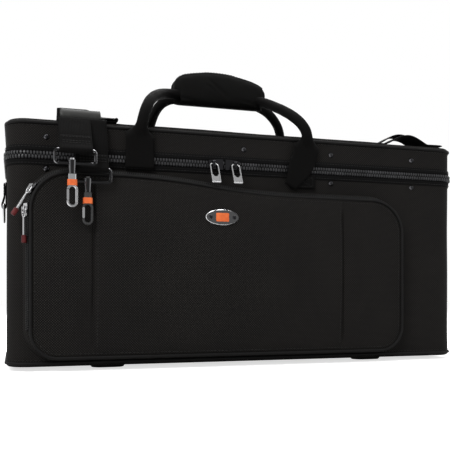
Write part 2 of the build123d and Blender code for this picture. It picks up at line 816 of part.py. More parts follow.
def adjuster(seat):
    """A three-bar adjuster: a frame with two slots."""
    slot = (adjuster_depth - 3 * adjuster_bar) / 2
    with BuildPart() as frame:
        with BuildSketch(seat.offset(-adjuster_wall / 2)):
            RectangleRounded(adjuster_length, adjuster_depth, adjuster_wall / 2)
            with GridLocations(1, slot + adjuster_bar, 1, 2):
                RectangleRounded(adjuster_length - 2 * adjuster_bar, slot, 1, mode=Mode.SUBTRACT)
        extrude(amount=adjuster_wall)
        chamfer(frame.faces().sort_by(Axis(seat.origin, seat.z_dir))[-1].outer_wire().edges(), 1.0)
    return frame.part


for number, (x, y) in enumerate(zip(adjuster_places, adjuster_y), start=1):
    finish(adjuster(adjuster_seat(x, y)), f"strap_adjuster_{number}")


def strap_end(index):
    """Webbing that hangs from the lid's front edge, with a loop at its foot for the eye's bar."""
    x = end_places[index]
    left, right = knuckle_spans[index]
    bore = eye_wire / 2 / cos(radians(22.5)) + layer_gap
    foot = (loop_y[index], loop_z[index])
    head = (strap_axis_y, strap_axis_z)
    shoulder = tuple(near + strap_neck * (far - near) for near, far in zip(head, foot))
    with BuildPart() as webbing:
        with BuildSketch(Plane.YZ.offset(x - strap_width / 2)):
            with Locations(shoulder, foot):
                Circle(strap_wall / 2)
            make_hull()
            with Locations(foot):
                Circle(bore + strap_wall)
                Circle(bore, mode=Mode.SUBTRACT)
        extrude(amount=strap_width)
        with BuildSketch(Plane.YZ.offset(left)):
            with Locations(shoulder, head):
                Circle(strap_wall / 2)
            make_hull()
            with Locations(head):
                Circle(strap_knuckle)
        extrude(amount=right - left)
    return webbing.part


def eye(index):
    """A cast loop for the webbing, with a barrel below it that the hook turns in."""
    y, z = loop_y[index], loop_z[index]
    middle_z = z - eye_drop / 2
    x = hook_places[index]
    with BuildPart() as loop:
        with BuildSketch(Plane.XZ.offset(-y - eye_wire / 2)):
            with Locations((eye_centres[index], middle_z)):
                RectangleRounded(eye_width, eye_drop + eye_wire, eye_rounding)
                RectangleRounded(eye_width - 2 * eye_wire, eye_drop - eye_wire, eye_hole_rounding,
                                 mode=Mode.SUBTRACT)
        extrude(amount=eye_wire)
        chamfer(loop.edges().filter_by(Axis.X), eye_wire * 0.29)
        barrel_top = z - eye_drop + boss_top
        with BuildSketch(Plane.XY.offset(barrel_top - boss_length)):
            with Locations((x, y)):
                Circle(boss_radius * boss_taper)
        with BuildSketch(Plane.XY.offset(barrel_top)):
            with Locations((x, y)):
                Circle(boss_radius)
        loft()
        with BuildSketch(Plane.XY.offset(barrel_top)):
            with Locations((x, y)):
                Circle(stem_radius + layer_gap)
        extrude(amount=-boss_length, mode=Mode.SUBTRACT)
    return loop.part


def hook_top(index):
    """Height of the underside of an eye's barrel."""
    return loop_z[index] - eye_drop + boss_top - boss_length


def hook(index):
    """Snap hook: stem with its head, block, and a bowed hook left open on one side for the gate."""
    x, y = hook_places[index], loop_y[index]
    top = hook_top(index) - running_gap
    bow_top = top - hook_block_height
    bow_middle = bow_top - hook_loop_height / 2
    bow = Plane(origin=(x, y, bow_middle + hook_overlap / 2), z_dir=(0, -1, 0), x_dir=(1, 0, 0))
    bow_height = hook_loop_height + hook_overlap
    with BuildPart() as body:
        with BuildSketch(bow.offset(-hook_wall / 2)):
            SlotOverall(bow_height, hook_width, rotation=90)
            SlotOverall(bow_height - 2 * hook_bar, hook_width - 2 * hook_bar, rotation=90, mode=Mode.SUBTRACT)
        extrude(amount=hook_wall)
        chamfer(body.faces().filter_by(Axis.Y).edges(), hook_bar * 0.3)
        with BuildSketch(bow.offset(-hook_wall)):
            with Locations((-hook_width / 2, gate_rise)):
                Rectangle(hook_width - 2 * gate_wall, gate_opening)
        extrude(amount=2 * hook_wall, mode=Mode.SUBTRACT)
        with BuildSketch(Plane.XY.offset(bow_top)):
            with Locations((x, y)):
                RectangleRounded(hook_block_width, hook_block_depth, block_edge)
        extrude(amount=hook_block_height)
        with BuildSketch(Plane.XY.offset(top - 1)):
            with Locations((x, y)):
                Circle(stem_radius)
        extrude(amount=boss_length + 2 * running_gap + 2)
        with BuildSketch(Plane.XY.offset(top + boss_length + 2 * running_gap)):
            with Locations((x, y)):
                Circle(stem_radius + 1.0)
        extrude(amount=stem_head)
    return body.part


def gate(index):
    """Sprung gate that closes the hook's open side; it turns on a pin at its upper end."""
    x, y = hook_places[index], loop_y[index]
    bow_middle = hook_top(index) - running_gap - hook_block_height - hook_loop_height / 2
    gate_x = x - hook_width / 2 + gate_wall / 2
    with BuildPart() as lever:
        with BuildSketch(Plane.XZ.offset(-y - gate_depth / 2)):
            with Locations((gate_x, bow_middle + hook_overlap / 2 + gate_rise)):
                SlotOverall(gate_opening - 2 * running_gap, gate_wall, rotation=90)
        extrude(amount=gate_depth)
    return lever.part


def hook_band(index):
    """Coloured sleeve round the hook's block."""
    x, y = hook_places[index], loop_y[index]
    low = hook_top(index) - running_gap - hook_block_height + 0.6
    with BuildPart() as sleeve:
        with BuildSketch(Plane.XY.offset(low)):
            with Locations((x, y)):
                RectangleRounded(hook_block_width + 2 * band_wall, hook_block_depth + 2 * band_wall,
                                 block_edge + band_wall)
                RectangleRounded(hook_block_width + 2 * layer_gap, hook_block_depth + 2 * layer_gap,
                                 block_edge + layer_gap, mode=Mode.SUBTRACT)
        extrude(amount=band_height)
    return sleeve.part


for index in (0, 1):
    number = index + 1
    finish(strap_end(index), f"strap_end_{number}")
    finish(eye(index), f"strap_eye_{number}")
    finish(hook(index), f"snap_hook_{number}")
    finish(gate(index), f"hook_gate_{number}")
    finish(hook_band(index), f"hook_band_{number}")


def slider(seat, reach, size, bridge_shift, legs, pin_axis):
    """A zip slider: plate, legs and a bridge with the hole for its pull.

    seat lies on the tape under the middle of the slider, with its x axis towards the nose and its z axis
    outwards. reach is how far the coils stand out of the tape, size is the plate's length and width, and legs
    names the sides that have a leg.
    """
    plate_low = reach + slider_gap
    plate_high = plate_low + slider_wall
    hole = pull_wire / 2 + pin_gap
    half, shoulder, narrow = size[0] / 2, size[1] / 2, size[1] * 0.36
    across = Plane(origin=seat.origin + seat.x_dir * bridge_shift, x_dir=seat.z_dir, z_dir=pin_axis)
    with BuildPart() as body:
        with BuildSketch(seat.offset(plate_low)):
            with BuildLine():
                Polyline((-half, narrow), (half * 0.2, shoulder), (half, shoulder), (half, -shoulder),
                         (half * 0.2, -shoulder), (-half, -narrow), close=True)
            make_face()
        extrude(amount=slider_wall)
        for leg in legs:
            with BuildSketch(seat.offset(layer_gap)):
                with Locations((half * 0.6, leg * (shoulder - slider_leg / 2))):
                    Rectangle(half * 0.8, slider_leg)
            extrude(amount=plate_low)
        with BuildSketch(across.offset(-bridge_width / 2)):
            with Locations((plate_high + (bridge_height - bridge_root) / 2, 0)):
                RectangleRounded(bridge_height + bridge_root, bridge_length, bridge_rounding)
            with Locations((pin_height(reach), 0)):
                Circle(hole, mode=Mode.SUBTRACT)
        extrude(amount=bridge_width)
    return body.part


def pin_height(reach):
    """Distance from the tape to the middle of a pull's bar."""
    return reach + slider_gap + slider_wall + pull_wire / 2 + pin_gap + bridge_root


def pull_plane(seat, reach, pin_axis, tilt):
    """The plane of a pull that hangs from its pin, tilted outwards by an angle."""
    facing_out = seat.z_dir.rotate(Axis((0, 0, 0), pin_axis), -tilt)
    return Plane(origin=seat.origin + seat.z_dir * pin_height(reach), x_dir=pin_axis, z_dir=facing_out)


def arched_pull(hang):
    """A cast pull: an arch through the bridge, straight legs, and a flat grip between their feet."""
    half = (pull_width - pull_wire) / 2
    arch = half - bridge_width * 0.55
    foot = pull_wire * 0.6
    with BuildPart() as pull:
        with BuildLine(hang):
            bar = Line((arch - half, 0), (half - arch, 0))
            RadiusArc(bar @ 1, (half, -arch), arch)
            Line((half, -arch), (half, foot - pull_drop))
            RadiusArc((half, foot - pull_drop), (half - foot, -pull_drop), foot)
            Line((half - foot, -pull_drop), (foot - half, -pull_drop))
            RadiusArc((foot - half, -pull_drop), (-half, foot - pull_drop), foot)
            Line((-half, foot - pull_drop), (-half, -arch))
            RadiusArc((-half, -arch), bar @ 0, arch)
        with BuildSketch(Plane(origin=bar @ 0, z_dir=bar % 0)):
            Circle(pull_wire / 2)
        sweep()
        with BuildSketch(hang.offset(-pull_grip_wall / 2)):
            with Locations((0, pull_grip / 2 - pull_drop)):
                Rectangle(2 * half, pull_grip)
            with Locations((0, pull_grip - pull_drop)):
                Circle(half * 0.62, mode=Mode.SUBTRACT)
        extrude(amount=pull_grip_wall)
    return pull.part


# Two sliders of the main zip, nose to nose, with their wire pulls
coil_reach = coil_wall
outward = (0, -1, 0)
for number, (x, nose) in enumerate(zip(main_slider_places, (1, -1)), start=1):
    seat = Plane(origin=(x, -half_depth - tape_out, seam_z), x_dir=(nose, 0, 0), z_dir=outward)
    below = Plane(origin=seat.origin + seat.x_dir * slider_bridge_shift, x_dir=(1, 0, 0), z_dir=outward)
    main_size = (slider_length, slider_width)
    finish(slider(seat, coil_reach, main_size, slider_bridge_shift, (-nose,), (1, 0, 0)),
           f"main_slider_{number}")
    finish(arched_pull(pull_plane(below, coil_reach, (1, 0, 0), pull_tilt)), f"main_pull_{number}")

# Two sliders of the pocket's zip, one on its upper left corner and one below it, with bar pulls and soft tips
slope = (pocket_rim**2 + band_width**2) ** 0.5
pocket_reach = pocket_coil_proud * pocket_rim / slope
split_out = half_depth + layer_gap + band_split * pocket_rim
split_grow = band_width * (1 - band_split)
corner_x = pocket_left + pocket_top_radius
corner_z = pocket_top_left - pocket_top_radius


def pocket_seat(angle, drop):
    """Where a pocket slider sits: round the corner by an angle, or straight below the corner's end."""
    away = Vector(cos(radians(angle)), 0, sin(radians(angle)))
    middle = Vector(corner_x, -split_out, corner_z - drop) + away * (pocket_top_radius + split_grow)
    travel = Vector(-away.Z, 0, away.X) * -1
    return Plane(origin=middle, x_dir=travel, z_dir=away * pocket_rim + Vector(0, -band_width, 0))


def bar_pull(seat):
    """A small wire bow that carries a straight rod, hanging back along the zip."""
    hang = pull_plane(seat, pocket_reach, seat.y_dir * -1, 0)
    rod_start = pocket_pull_bow - pull_wire / 4
    with BuildPart() as pull:
        add(wire_bow(hang, pull_wire, pocket_pull_width, pocket_pull_bow, pull_wire * 0.6))
        down = Plane(origin=hang.origin, x_dir=hang.x_dir, z_dir=hang.y_dir * -1)
        with BuildSketch(down.offset(rod_start)):
            RectangleRounded(pull_rod, pull_rod, pull_rod / 4)
        extrude(amount=pocket_pull_length + tip_length / 2 - rod_start)
    return pull.part


def pull_tip(seat):
    """Soft sleeve moulded over the end of a bar pull."""
    top = seat.origin + seat.z_dir * pin_height(pocket_reach)
    start = Plane(origin=top, x_dir=seat.y_dir, z_dir=seat.x_dir * -1).offset(pocket_pull_length)
    with BuildPart() as tip:
        with BuildSketch(start):
            Circle(tip_size / 2)
        extrude(amount=tip_length)
        chamfer(tip.edges().filter_by(GeomType.CIRCLE), 1.0)
        with BuildSketch(start):
            RectangleRounded(pull_rod + layer_gap, pull_rod + layer_gap, pull_rod / 4)
        extrude(amount=tip_length / 2 + 0.1, mode=Mode.SUBTRACT)
    return tip.part


for number, (angle, drop) in enumerate(((pocket_slider_angle, 0.0), (180.0, corner_z - pocket_slider_z)), 1):
    seat = pocket_seat(angle, drop)
    pocket_size = (pocket_slider_length, pocket_slider_width)
    finish(slider(seat, pocket_reach, pocket_size, 0, (), seat.y_dir), f"pocket_slider_{number}")
    finish(bar_pull(seat), f"pocket_pull_{number}")
    finish(pull_tip(seat), f"pocket_pull_tip_{number}")
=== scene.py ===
"""Soft-sided horn case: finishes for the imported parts, and its fabric, zips, webbing and padding. Metres."""

from math import atan2, cos, pi, radians, sin, sqrt

import bmesh
import bpy
from mathutils import Matrix, Vector, noise
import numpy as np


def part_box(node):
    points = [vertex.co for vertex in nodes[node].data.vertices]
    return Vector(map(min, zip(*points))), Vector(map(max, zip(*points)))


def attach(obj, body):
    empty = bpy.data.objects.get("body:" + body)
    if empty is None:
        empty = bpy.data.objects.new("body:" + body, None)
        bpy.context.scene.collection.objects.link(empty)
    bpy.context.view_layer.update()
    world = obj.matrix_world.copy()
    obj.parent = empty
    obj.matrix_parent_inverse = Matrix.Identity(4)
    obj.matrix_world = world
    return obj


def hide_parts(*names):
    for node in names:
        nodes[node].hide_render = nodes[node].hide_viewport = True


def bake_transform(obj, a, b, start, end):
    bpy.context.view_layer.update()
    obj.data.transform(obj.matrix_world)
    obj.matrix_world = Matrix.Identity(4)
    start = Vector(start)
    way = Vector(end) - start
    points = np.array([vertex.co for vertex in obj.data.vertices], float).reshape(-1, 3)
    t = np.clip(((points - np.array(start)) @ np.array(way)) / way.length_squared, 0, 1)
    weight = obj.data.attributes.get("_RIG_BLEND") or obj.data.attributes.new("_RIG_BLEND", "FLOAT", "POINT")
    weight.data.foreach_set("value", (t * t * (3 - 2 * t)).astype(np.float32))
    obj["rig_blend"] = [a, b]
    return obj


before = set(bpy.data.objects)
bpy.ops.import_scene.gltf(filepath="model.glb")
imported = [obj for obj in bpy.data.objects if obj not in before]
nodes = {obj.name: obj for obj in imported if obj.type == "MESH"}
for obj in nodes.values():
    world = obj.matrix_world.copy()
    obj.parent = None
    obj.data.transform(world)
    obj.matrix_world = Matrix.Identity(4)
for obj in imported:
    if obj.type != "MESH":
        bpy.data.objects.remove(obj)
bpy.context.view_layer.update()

mm = 0.001

# Places taken from the frame
body_low, base_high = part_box("base_cover")
lid_low, body_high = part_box("lid_cover")
half_x = (body_high.x - body_low.x) / 2
half_y = (body_high.y - body_low.y) / 2
middle_y = (body_high.y + body_low.y) / 2
front_y = body_low.y
back_y = body_high.y
seam_z = (base_high.z + lid_low.z) / 2
top_z = body_high.z
bottom_z = body_low.z
corner_radius = 24 * mm
zip_end_y = middle_y + half_y - corner_radius - 4 * mm


# Small mesh tools

def blend_step(low, high, value):
    """0 below low, 1 above high, smooth between."""
    t = min(max((value - low) / (high - low), 0), 1)
    return t * t * (3 - 2 * t)


def bump_at(value, middle, width):
    """A smooth hill of height 1 at middle that ends a width away on both sides."""
    t = min(abs(value - middle) / width, 1)
    return (1 - t * t) ** 2


def wrinkle(point, size, seed):
    """Smooth repeatable unevenness between about -1 and 1, with features of the given size."""
    return noise.noise(Vector(point) / size + Vector((seed, seed * 0.37, 0)))


def piece(name, points, faces, lay=None, smooth=True):
    """A mesh object from points and faces; lay holds each point's place along and across the cloth."""
    mesh = bpy.data.meshes.new(name)
    mesh.from_pydata([tuple(p) for p in points], [], faces)
    if lay:
        attribute = mesh.attributes.new("lay", "FLOAT_VECTOR", "POINT")
        for spot, (along, across) in zip(attribute.data, lay):
            spot.vector = (along, across, 0)
    mesh.polygons.foreach_set("use_smooth", [smooth] * len(mesh.polygons))
    mesh.update()
    thing = bpy.data.objects.new(name, mesh)
    bpy.context.scene.collection.objects.link(thing)
    return thing


def ring_faces(rings, count, last):
    """Four-sided faces between rings of count points, the first last of them in each ring."""
    return [(i * count + j, i * count + (j + 1) % count, (i + 1) * count + (j + 1) % count, (i + 1) * count + j)
            for i in range(rings - 1) for j in range(last)]


def rings_to_mesh(name, rings, closed=True, caps=True, profile_lay=None):
    """Joins rings of points into a skin; the lay runs along the rings' order and round each ring."""
    count = len(rings[0])
    points, lay = [], []
    along = 0.0
    for i, ring in enumerate(rings):
        if i:
            along += sum((Vector(a) - Vector(b)).length for a, b in zip(ring, rings[i - 1])) / count
        across = 0.0
        for j, p in enumerate(ring):
            if j:
                across += (Vector(p) - Vector(ring[j - 1])).length
            points.append(p)
            lay.append((along, profile_lay[j] if profile_lay else across))
    faces = ring_faces(len(rings), count, count if closed else count - 1)
    if caps and closed:
        faces.append(tuple(range(count))[::-1])
        faces.append(tuple((len(rings) - 1) * count + j for j in range(count)))
    return piece(name, points, faces, lay)


def join(name, things):
    """Joins pieces into one object."""
    bpy.ops.object.select_all(action="DESELECT")
    for thing in things:
        thing.select_set(True)
    bpy.context.view_layer.objects.active = things[0]
    bpy.ops.object.join()
    things[0].name = name
    return things[0]


def outward_faces(thing):
    """Turns every closed skin's faces outwards."""
    mesh = bmesh.new()
    mesh.from_mesh(thing.data)
    bmesh.ops.recalc_face_normals(mesh, faces=mesh.faces)
    mesh.to_mesh(thing.data)
    mesh.free()
    return thing


def apply_modifier(thing, kind, **settings):
    """Adds a modifier, sets it and applies it."""
    modifier = thing.modifiers.new(kind, kind)
    for key, value in settings.items():
        setattr(modifier, key, value)
    bpy.context.view_layer.objects.active = thing
    thing.select_set(True)
    bpy.ops.object.modifier_apply(modifier=modifier.name)
    thing.select_set(False)


def dress(thing, material, body, slot, *replaced):
    """Gives a piece its finish and its body, and hides the nodes that it stands for; slot is not used."""
    thing.data.materials.clear()
    thing.data.materials.append(material)
    if replaced:
        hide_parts(*replaced)
    if body:
        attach(thing, body)
    return thing


def smooth_path(points):
    """Points of a smooth curve whose control points are given."""
    curve = bpy.data.curves.new("path", "CURVE")
    curve.dimensions = "3D"
    spline = curve.splines.new("NURBS")
    spline.points.add(len(points) - 1)
    for spot, p in zip(spline.points, points):
        spot.co = (*p, 1)
    spline.order_u = 4
    spline.use_endpoint_u = True
    spline.resolution_u = 10
    holder = bpy.data.objects.new("path", curve)
    mesh = bpy.data.meshes.new_from_object(holder)
    line = [v.co.copy() for v in mesh.vertices]
    bpy.data.objects.remove(holder)
    bpy.data.meshes.remove(mesh)
    return line


def path_frames(line, side):
    """For each point of a line: the point, its direction, and a steady sideways and outward direction."""
    frames = []
    for i, p in enumerate(line):
        ahead = (line[min(i + 1, len(line) - 1)] - line[max(i - 1, 0)]).normalized()
        across = (Vector(side) - ahead * ahead.dot(Vector(side))).normalized()
        frames.append((p, ahead, across, across.cross(ahead)))
    return frames


def ribbon(name, line, side, width, wall, ripple=0.0, seed=1.0, end_round=0.0):
    """Flat webbing along a line: a thin band with rounded edges, its width along side."""
    half, thick = width / 2, wall / 2
    steps = 10
    rings = []
    length = sum((b - a).length for a, b in zip(line, line[1:]))
    done = 0.0
    for i, (p, _, across, out) in enumerate(path_frames(line, side)):
        if i:
            done += (p - line[i - 1]).length
        near_end = min(done, length - done)
        narrow = 1 - end_round * max(1 - near_end / (4 * mm), 0)
        ring = []
        for face in (1, -1):
            for k in range(steps + 1):
                share = (k / steps * 2 - 1) * face
                edge = sqrt(max(1 - max(abs(share) - 0.9, 0) ** 2 * 100, 0.09))
                wave = ripple * wrinkle(p + across * share * half, 26 * mm, seed)
                ring.append(p + across * share * half * narrow + out * (face * thick * edge + wave))
        rings.append(ring)
    spread = [(k / steps * 2 - 1) * half for k in range(steps + 1)]
    return outward_faces(rings_to_mesh(name, rings, profile_lay=spread + spread[::-1]))


def tube(name, line, radius, side=(0, 0, 1), sides=12, uneven=0.0):
    """A round cord along a line."""
    rings = []
    for p, _, across, out in path_frames(line, side):
        size = radius * (1 + uneven * wrinkle(p, 9 * mm, 3.1))
        rings.append([p + (across * cos(2 * pi * k / sides) + out * sin(2 * pi * k / sides)) * size
                      for k in range(sides)])
    return outward_faces(rings_to_mesh(name, rings))


def stitch_row(spots, length, thick):
    """Raised thread stitches: spots are (place, direction along, direction out)."""
    points, faces = [], []
    for place, ahead, out in spots:
        side = ahead.cross(out)
        start = len(points)
        for end in (-1, -0.55, 0.55, 1):
            swell = 1.0 if abs(end) < 0.9 else 0.35
            height = thick * (0.9 if abs(end) < 0.9 else 0.1)
            for turn in range(6):
                angle = 2 * pi * turn / 6
                points.append(place + ahead * end * length / 2 + out * height
                              + side * cos(angle) * thick * swell + out * sin(angle) * thick * swell)
        for ring in range(3):
            for turn in range(6):
                after = (turn + 1) % 6
                faces.append((start + ring * 6 + turn, start + ring * 6 + after,
                              start + ring * 6 + 6 + after, start + ring * 6 + 6 + turn))
        faces.append(tuple(start + k for k in range(6))[::-1])
        faces.append(tuple(start + 18 + k for k in range(6)))
    return points, faces


def stitches(name, rows, material, body, length=2.6 * mm, thick=0.28 * mm):
    """One object with every stitch of a piece's seams."""
    spots = [spot for row in rows for spot in row]
    points, faces = stitch_row(spots, length, thick)
    thing = outward_faces(piece(name, points, faces))
    return dress(thing, material, body, "webbing")


def spaced(line, pitch, out):
    """Places every pitch along a line, with the direction there; out is a direction or a function of the place."""
    spots, left = [], pitch / 2
    for a, b in zip(line, line[1:]):
        step = (b - a).length
        if step < 1e-7:
            continue
        ahead = (b - a) / step
        at = left
        while at < step:
            place = a + ahead * at
            spots.append((place, ahead, (out(place) if callable(out) else Vector(out)).normalized()))
            at += pitch
        left = at - step
    return spots


# Materials

class Nodes:
    """A material's node tree with short calls for the nodes used here."""

    def __init__(self, name):
        self.material = bpy.data.materials.new(name)
        self.material.use_nodes = True
        self.tree = self.material.node_tree
        self.shader = self.tree.nodes["Principled BSDF"]
        self.place = self.tree.nodes.new("ShaderNodeTexCoord").outputs["Object"]

    def set(self, **values):
        for key, value in values.items():
            socket = self.shader.inputs[key.replace("_", " ")]
            socket.default_value = (*value, 1) if isinstance(value, tuple) and len(value) == 3 else value

    def node(self, kind, values=(), **properties):
        made = self.tree.nodes.new(kind)
        for key, value in properties.items():
            setattr(made, key, value)
        for key, value in dict(values).items():
            if hasattr(value, "is_output"):
                self.tree.links.new(value, made.inputs[key])
            else:
                made.inputs[key].default_value = value
        return made

    def lay(self):
        """Where a point lies along and across its own cloth, in metres."""
        return self.node("ShaderNodeAttribute", attribute_name="lay").outputs["Vector"]

    def split(self, vector):
        parts = self.node("ShaderNodeSeparateXYZ", {0: vector})
        return parts.outputs["X"], parts.outputs["Y"], parts.outputs["Z"]

    def math(self, operation, a, b=0.0, c=0.0):
        return self.node("ShaderNodeMath", {0: a, 1: b, 2: c}, operation=operation).outputs[0]

    def noise(self, size, vector=None, detail=4.0, roughness=0.55):
        made = self.node("ShaderNodeTexNoise", {"Vector": vector or self.place, "Scale": 1 / size,
                                                "Detail": detail, "Roughness": roughness})
        return made.outputs["Fac"]

    def ramp(self, value, low, high, start=0.0, end=1.0):
        made = self.node("ShaderNodeMapRange", {"Value": value, "From Min": low, "From Max": high,
                                                "To Min": start, "To Max": end})
        return made.outputs["Result"]

    def mix(self, share, a, b):
        made = self.node("ShaderNodeMix", {"Factor": share}, data_type="RGBA")
        for socket, value in ((made.inputs[6], a), (made.inputs[7], b)):
            if hasattr(value, "is_output"):
                self.tree.links.new(value, socket)
            else:
                socket.default_value = (*value, 1)
        return made.outputs[2]

    def waves(self, value, pitch):
        """0 to 1 and back over every pitch."""
        angle = self.math("MULTIPLY", value, 2 * pi / pitch)
        return self.ramp(self.math("SINE", angle), -1, 1)

    def weave(self, along, across, pitch):
        """Threads over and under each other: height from 0 to 1."""
        sums = self.math("ADD", along, across)
        gap = self.math("SUBTRACT", along, across)
        return self.math("MULTIPLY", self.waves(sums, pitch), self.waves(gap, pitch))

    def finish(self, colour, roughness=None, height=None, depth=0.0):
        self.tree.links.new(colour, self.shader.inputs["Base Color"])
        if roughness is not None:
            self.tree.links.new(roughness, self.shader.inputs["Roughness"])
        if height is not None:
            bump = self.node("ShaderNodeBump", {"Height": height, "Distance": depth, "Strength": 0.9})
            self.tree.links.new(bump.outputs["Normal"], self.shader.inputs["Normal"])
        return self.material


def cover_fabric():
    """Coarse woven nylon, near black, with a small diamond weave and faint wear."""
    n = Nodes("cover_fabric")
    along, across, _ = n.split(n.lay())
    weave = n.weave(along, across, 2.9 * mm)
    threads = n.waves(along, 0.7 * mm)
    patch = n.noise(60 * mm, detail=3.0)
    fine = n.noise(1.6 * mm)
    cloth = n.mix(n.ramp(patch, 0.3, 0.7), (0.0030, 0.0029, 0.0030), (0.0050, 0.0047, 0.0045))
    dots = n.math("MULTIPLY", n.ramp(weave, 0.25, 0.9), n.ramp(fine, 0.2, 0.8, 0.5, 1.0))
    colour = n.mix(n.math("MULTIPLY", dots, 0.9), cloth, (0.0500, 0.0455, 0.0410))
    height = n.math("ADD", weave, n.math("MULTIPLY", threads, 0.35))
    n.set(Specular_IOR_Level=0.06, Sheen_Weight=0.01, Sheen_Roughness=0.5)
    return n.finish(colour, n.ramp(fine, 0.2, 0.8, 0.72, 0.92), height, 0.25 * mm)


def webbing(name, dark, light, rib, shine):
    """Tightly ribbed strap: ribs run along it, with a faint chevron across."""
    n = Nodes(name)
    along, across, _ = n.split(n.lay())
    ribs = n.waves(across, rib)
    chevron = n.waves(n.math("ADD", along, n.math("ABSOLUTE", n.math("SUBTRACT",
                      n.math("PINGPONG", across, rib * 2), rib))), rib * 1.3)
    fuzz = n.noise(2.2 * mm)
    share = n.math("MULTIPLY", n.math("MULTIPLY", ribs, chevron), n.ramp(fuzz, 0.25, 0.75, 0.5, 1.0))
    colour = n.mix(share, dark, light)
    n.set(Specular_IOR_Level=shine, Sheen_Weight=0.01)
    height = n.math("ADD", n.math("MULTIPLY", ribs, 0.6), n.math("MULTIPLY", chevron, 0.5))
    return n.finish(colour, n.ramp(fuzz, 0.2, 0.8, 0.62, 0.85), height, 0.22 * mm)


def piping_fabric():
    """Smooth bias tape drawn over a cord, a little shinier than the cover, gathered across."""
    n = Nodes("piping_fabric")
    along, _, _ = n.split(n.lay())
    gathers = n.noise(3.0 * mm, detail=2.0)
    threads = n.waves(along, 0.9 * mm)
    colour = n.mix(n.ramp(gathers, 0.3, 0.7), (0.0030, 0.0029, 0.0029), (0.0070, 0.0067, 0.0066))
    n.set(Specular_IOR_Level=0.10)
    height = n.math("ADD", n.math("MULTIPLY", threads, 0.4), gathers)
    return n.finish(colour, n.ramp(gathers, 0.3, 0.7, 0.5, 0.66), height, 0.2 * mm)


def grip_fabric():
    """Fine knitted cloth over soft foam."""
    n = Nodes("grip_fabric")
    x, y, z = n.split(n.place)
    knit = n.weave(x, n.math("ADD", z, y), 2.2 * mm)
    patch = n.noise(18 * mm, detail=3.0)
    colour = n.mix(n.math("MULTIPLY", knit, n.ramp(patch, 0.3, 0.7, 0.3, 0.8)),
                   (0.0026, 0.0026, 0.0025), (0.0130, 0.0127, 0.0120))
    n.set(Specular_IOR_Level=0.05, Sheen_Weight=0.008)
    return n.finish(colour, n.ramp(patch, 0.3, 0.7, 0.7, 0.85), knit, 0.25 * mm)


def plush():
    """Short dark pile with lighter and darker lay."""
    n = Nodes("plush")
    pile = n.noise(0.9 * mm, detail=6.0, roughness=0.7)
    brushed = n.noise(35 * mm, detail=3.0)
    base = n.mix(n.ramp(brushed, 0.35, 0.65), (0.012, 0.013, 0.020), (0.026, 0.027, 0.038))
    colour = n.mix(n.ramp(pile, 0.35, 0.75, 0.0, 0.7), base, (0.055, 0.056, 0.072))
    n.set(Specular_IOR_Level=0.1, Sheen_Weight=0.45, Sheen_Roughness=0.35, Sheen_Tint=(0.55, 0.57, 0.7))
    return n.finish(colour, n.ramp(pile, 0.2, 0.8, 0.85, 1.0), n.math("ADD", pile, brushed), 0.7 * mm)


def pressed_board():
    """Dark grey pressed board with fibres."""
    n = Nodes("pressed_board")
    fibres = n.noise(2.4 * mm, detail=7.0, roughness=0.75)
    stain = n.noise(80 * mm)
    base = n.mix(n.ramp(stain, 0.3, 0.7), (0.050, 0.046, 0.041), (0.072, 0.067, 0.060))
    colour = n.mix(n.ramp(fibres, 0.4, 0.75, 0.0, 0.6), base, (0.110, 0.102, 0.092))
    return n.finish(colour, n.ramp(fibres, 0.2, 0.8, 0.8, 0.95), fibres, 0.3 * mm)


def metal(name, dark, light, rough_low, rough_high, tarnish=0.25, painted_reflection=0.0):
    """Plated metal with fine polishing marks and duller patches; its last argument paints dark and bright bands by
    which way each face points: painted reflection.
    """
    n = Nodes(name)
    marks = n.noise(0.8 * mm, detail=3.0)
    patch = n.noise(12 * mm, detail=3.0)
    share = n.math("MULTIPLY", n.ramp(patch, 0.35, 0.7), tarnish)
    # painted reflection: dark and bright bands by which way each face points, joined with the tarnish patches by their
    # maximum
    if painted_reflection:
        x, y, z = n.split(n.tree.nodes["Texture Coordinate"].outputs["Normal"])
        facing = n.math("ADD", n.math("MULTIPLY", x, 2.6), n.math("MULTIPLY", z, 1.9))
        reflection_bands = n.ramp(n.math("SINE", n.math("ADD", facing, n.math("MULTIPLY_ADD", y, 1.2, 2.8))), -0.75, 0.55)
        share = n.math("MAXIMUM", n.math("MULTIPLY", reflection_bands, painted_reflection), share)
    colour = n.mix(share, light, dark)
    n.set(Metallic=1.0)
    return n.finish(colour, n.ramp(patch, 0.3, 0.7, rough_low, rough_high), marks, 0.03 * mm)


def moulded(name, dark, light, rough_low, rough_high, grain=0.9 * mm, shine=0.45):
    """Moulded plastic or rubber with a fine grain and slightly polished patches."""
    n = Nodes(name)
    fine = n.noise(grain, detail=5.0, roughness=0.6)
    patch = n.noise(14 * mm, detail=2.0)
    colour = n.mix(n.ramp(patch, 0.3, 0.7), dark, light)
    n.set(Specular_IOR_Level=shine)
    return n.finish(colour, n.ramp(n.math("ADD", fine, patch), 0.7, 1.3, rough_low, rough_high),
                    fine, 0.09 * mm)


def plate_enamel():
    """Black gloss plate whose bevelled rim is bare polished metal."""
    n = Nodes("plate_enamel")
    normal = n.tree.nodes["Texture Coordinate"].outputs["Normal"]
    _, facing, _ = n.split(normal)
    rim = n.ramp(n.math("ABSOLUTE", facing), 0.93, 0.86)
    speck = n.noise(1.5 * mm)
    enamel = n.mix(n.ramp(speck, 0.3, 0.7), (0.006, 0.006, 0.007), (0.012, 0.012, 0.013))
    n.tree.links.new(rim, n.shader.inputs["Metallic"])
    n.set(Coat_Weight=0.6)
    return n.finish(n.mix(rim, enamel, (0.72, 0.72, 0.73)), n.ramp(speck, 0.2, 0.8, 0.12, 0.2), speck, 0.02 * mm)


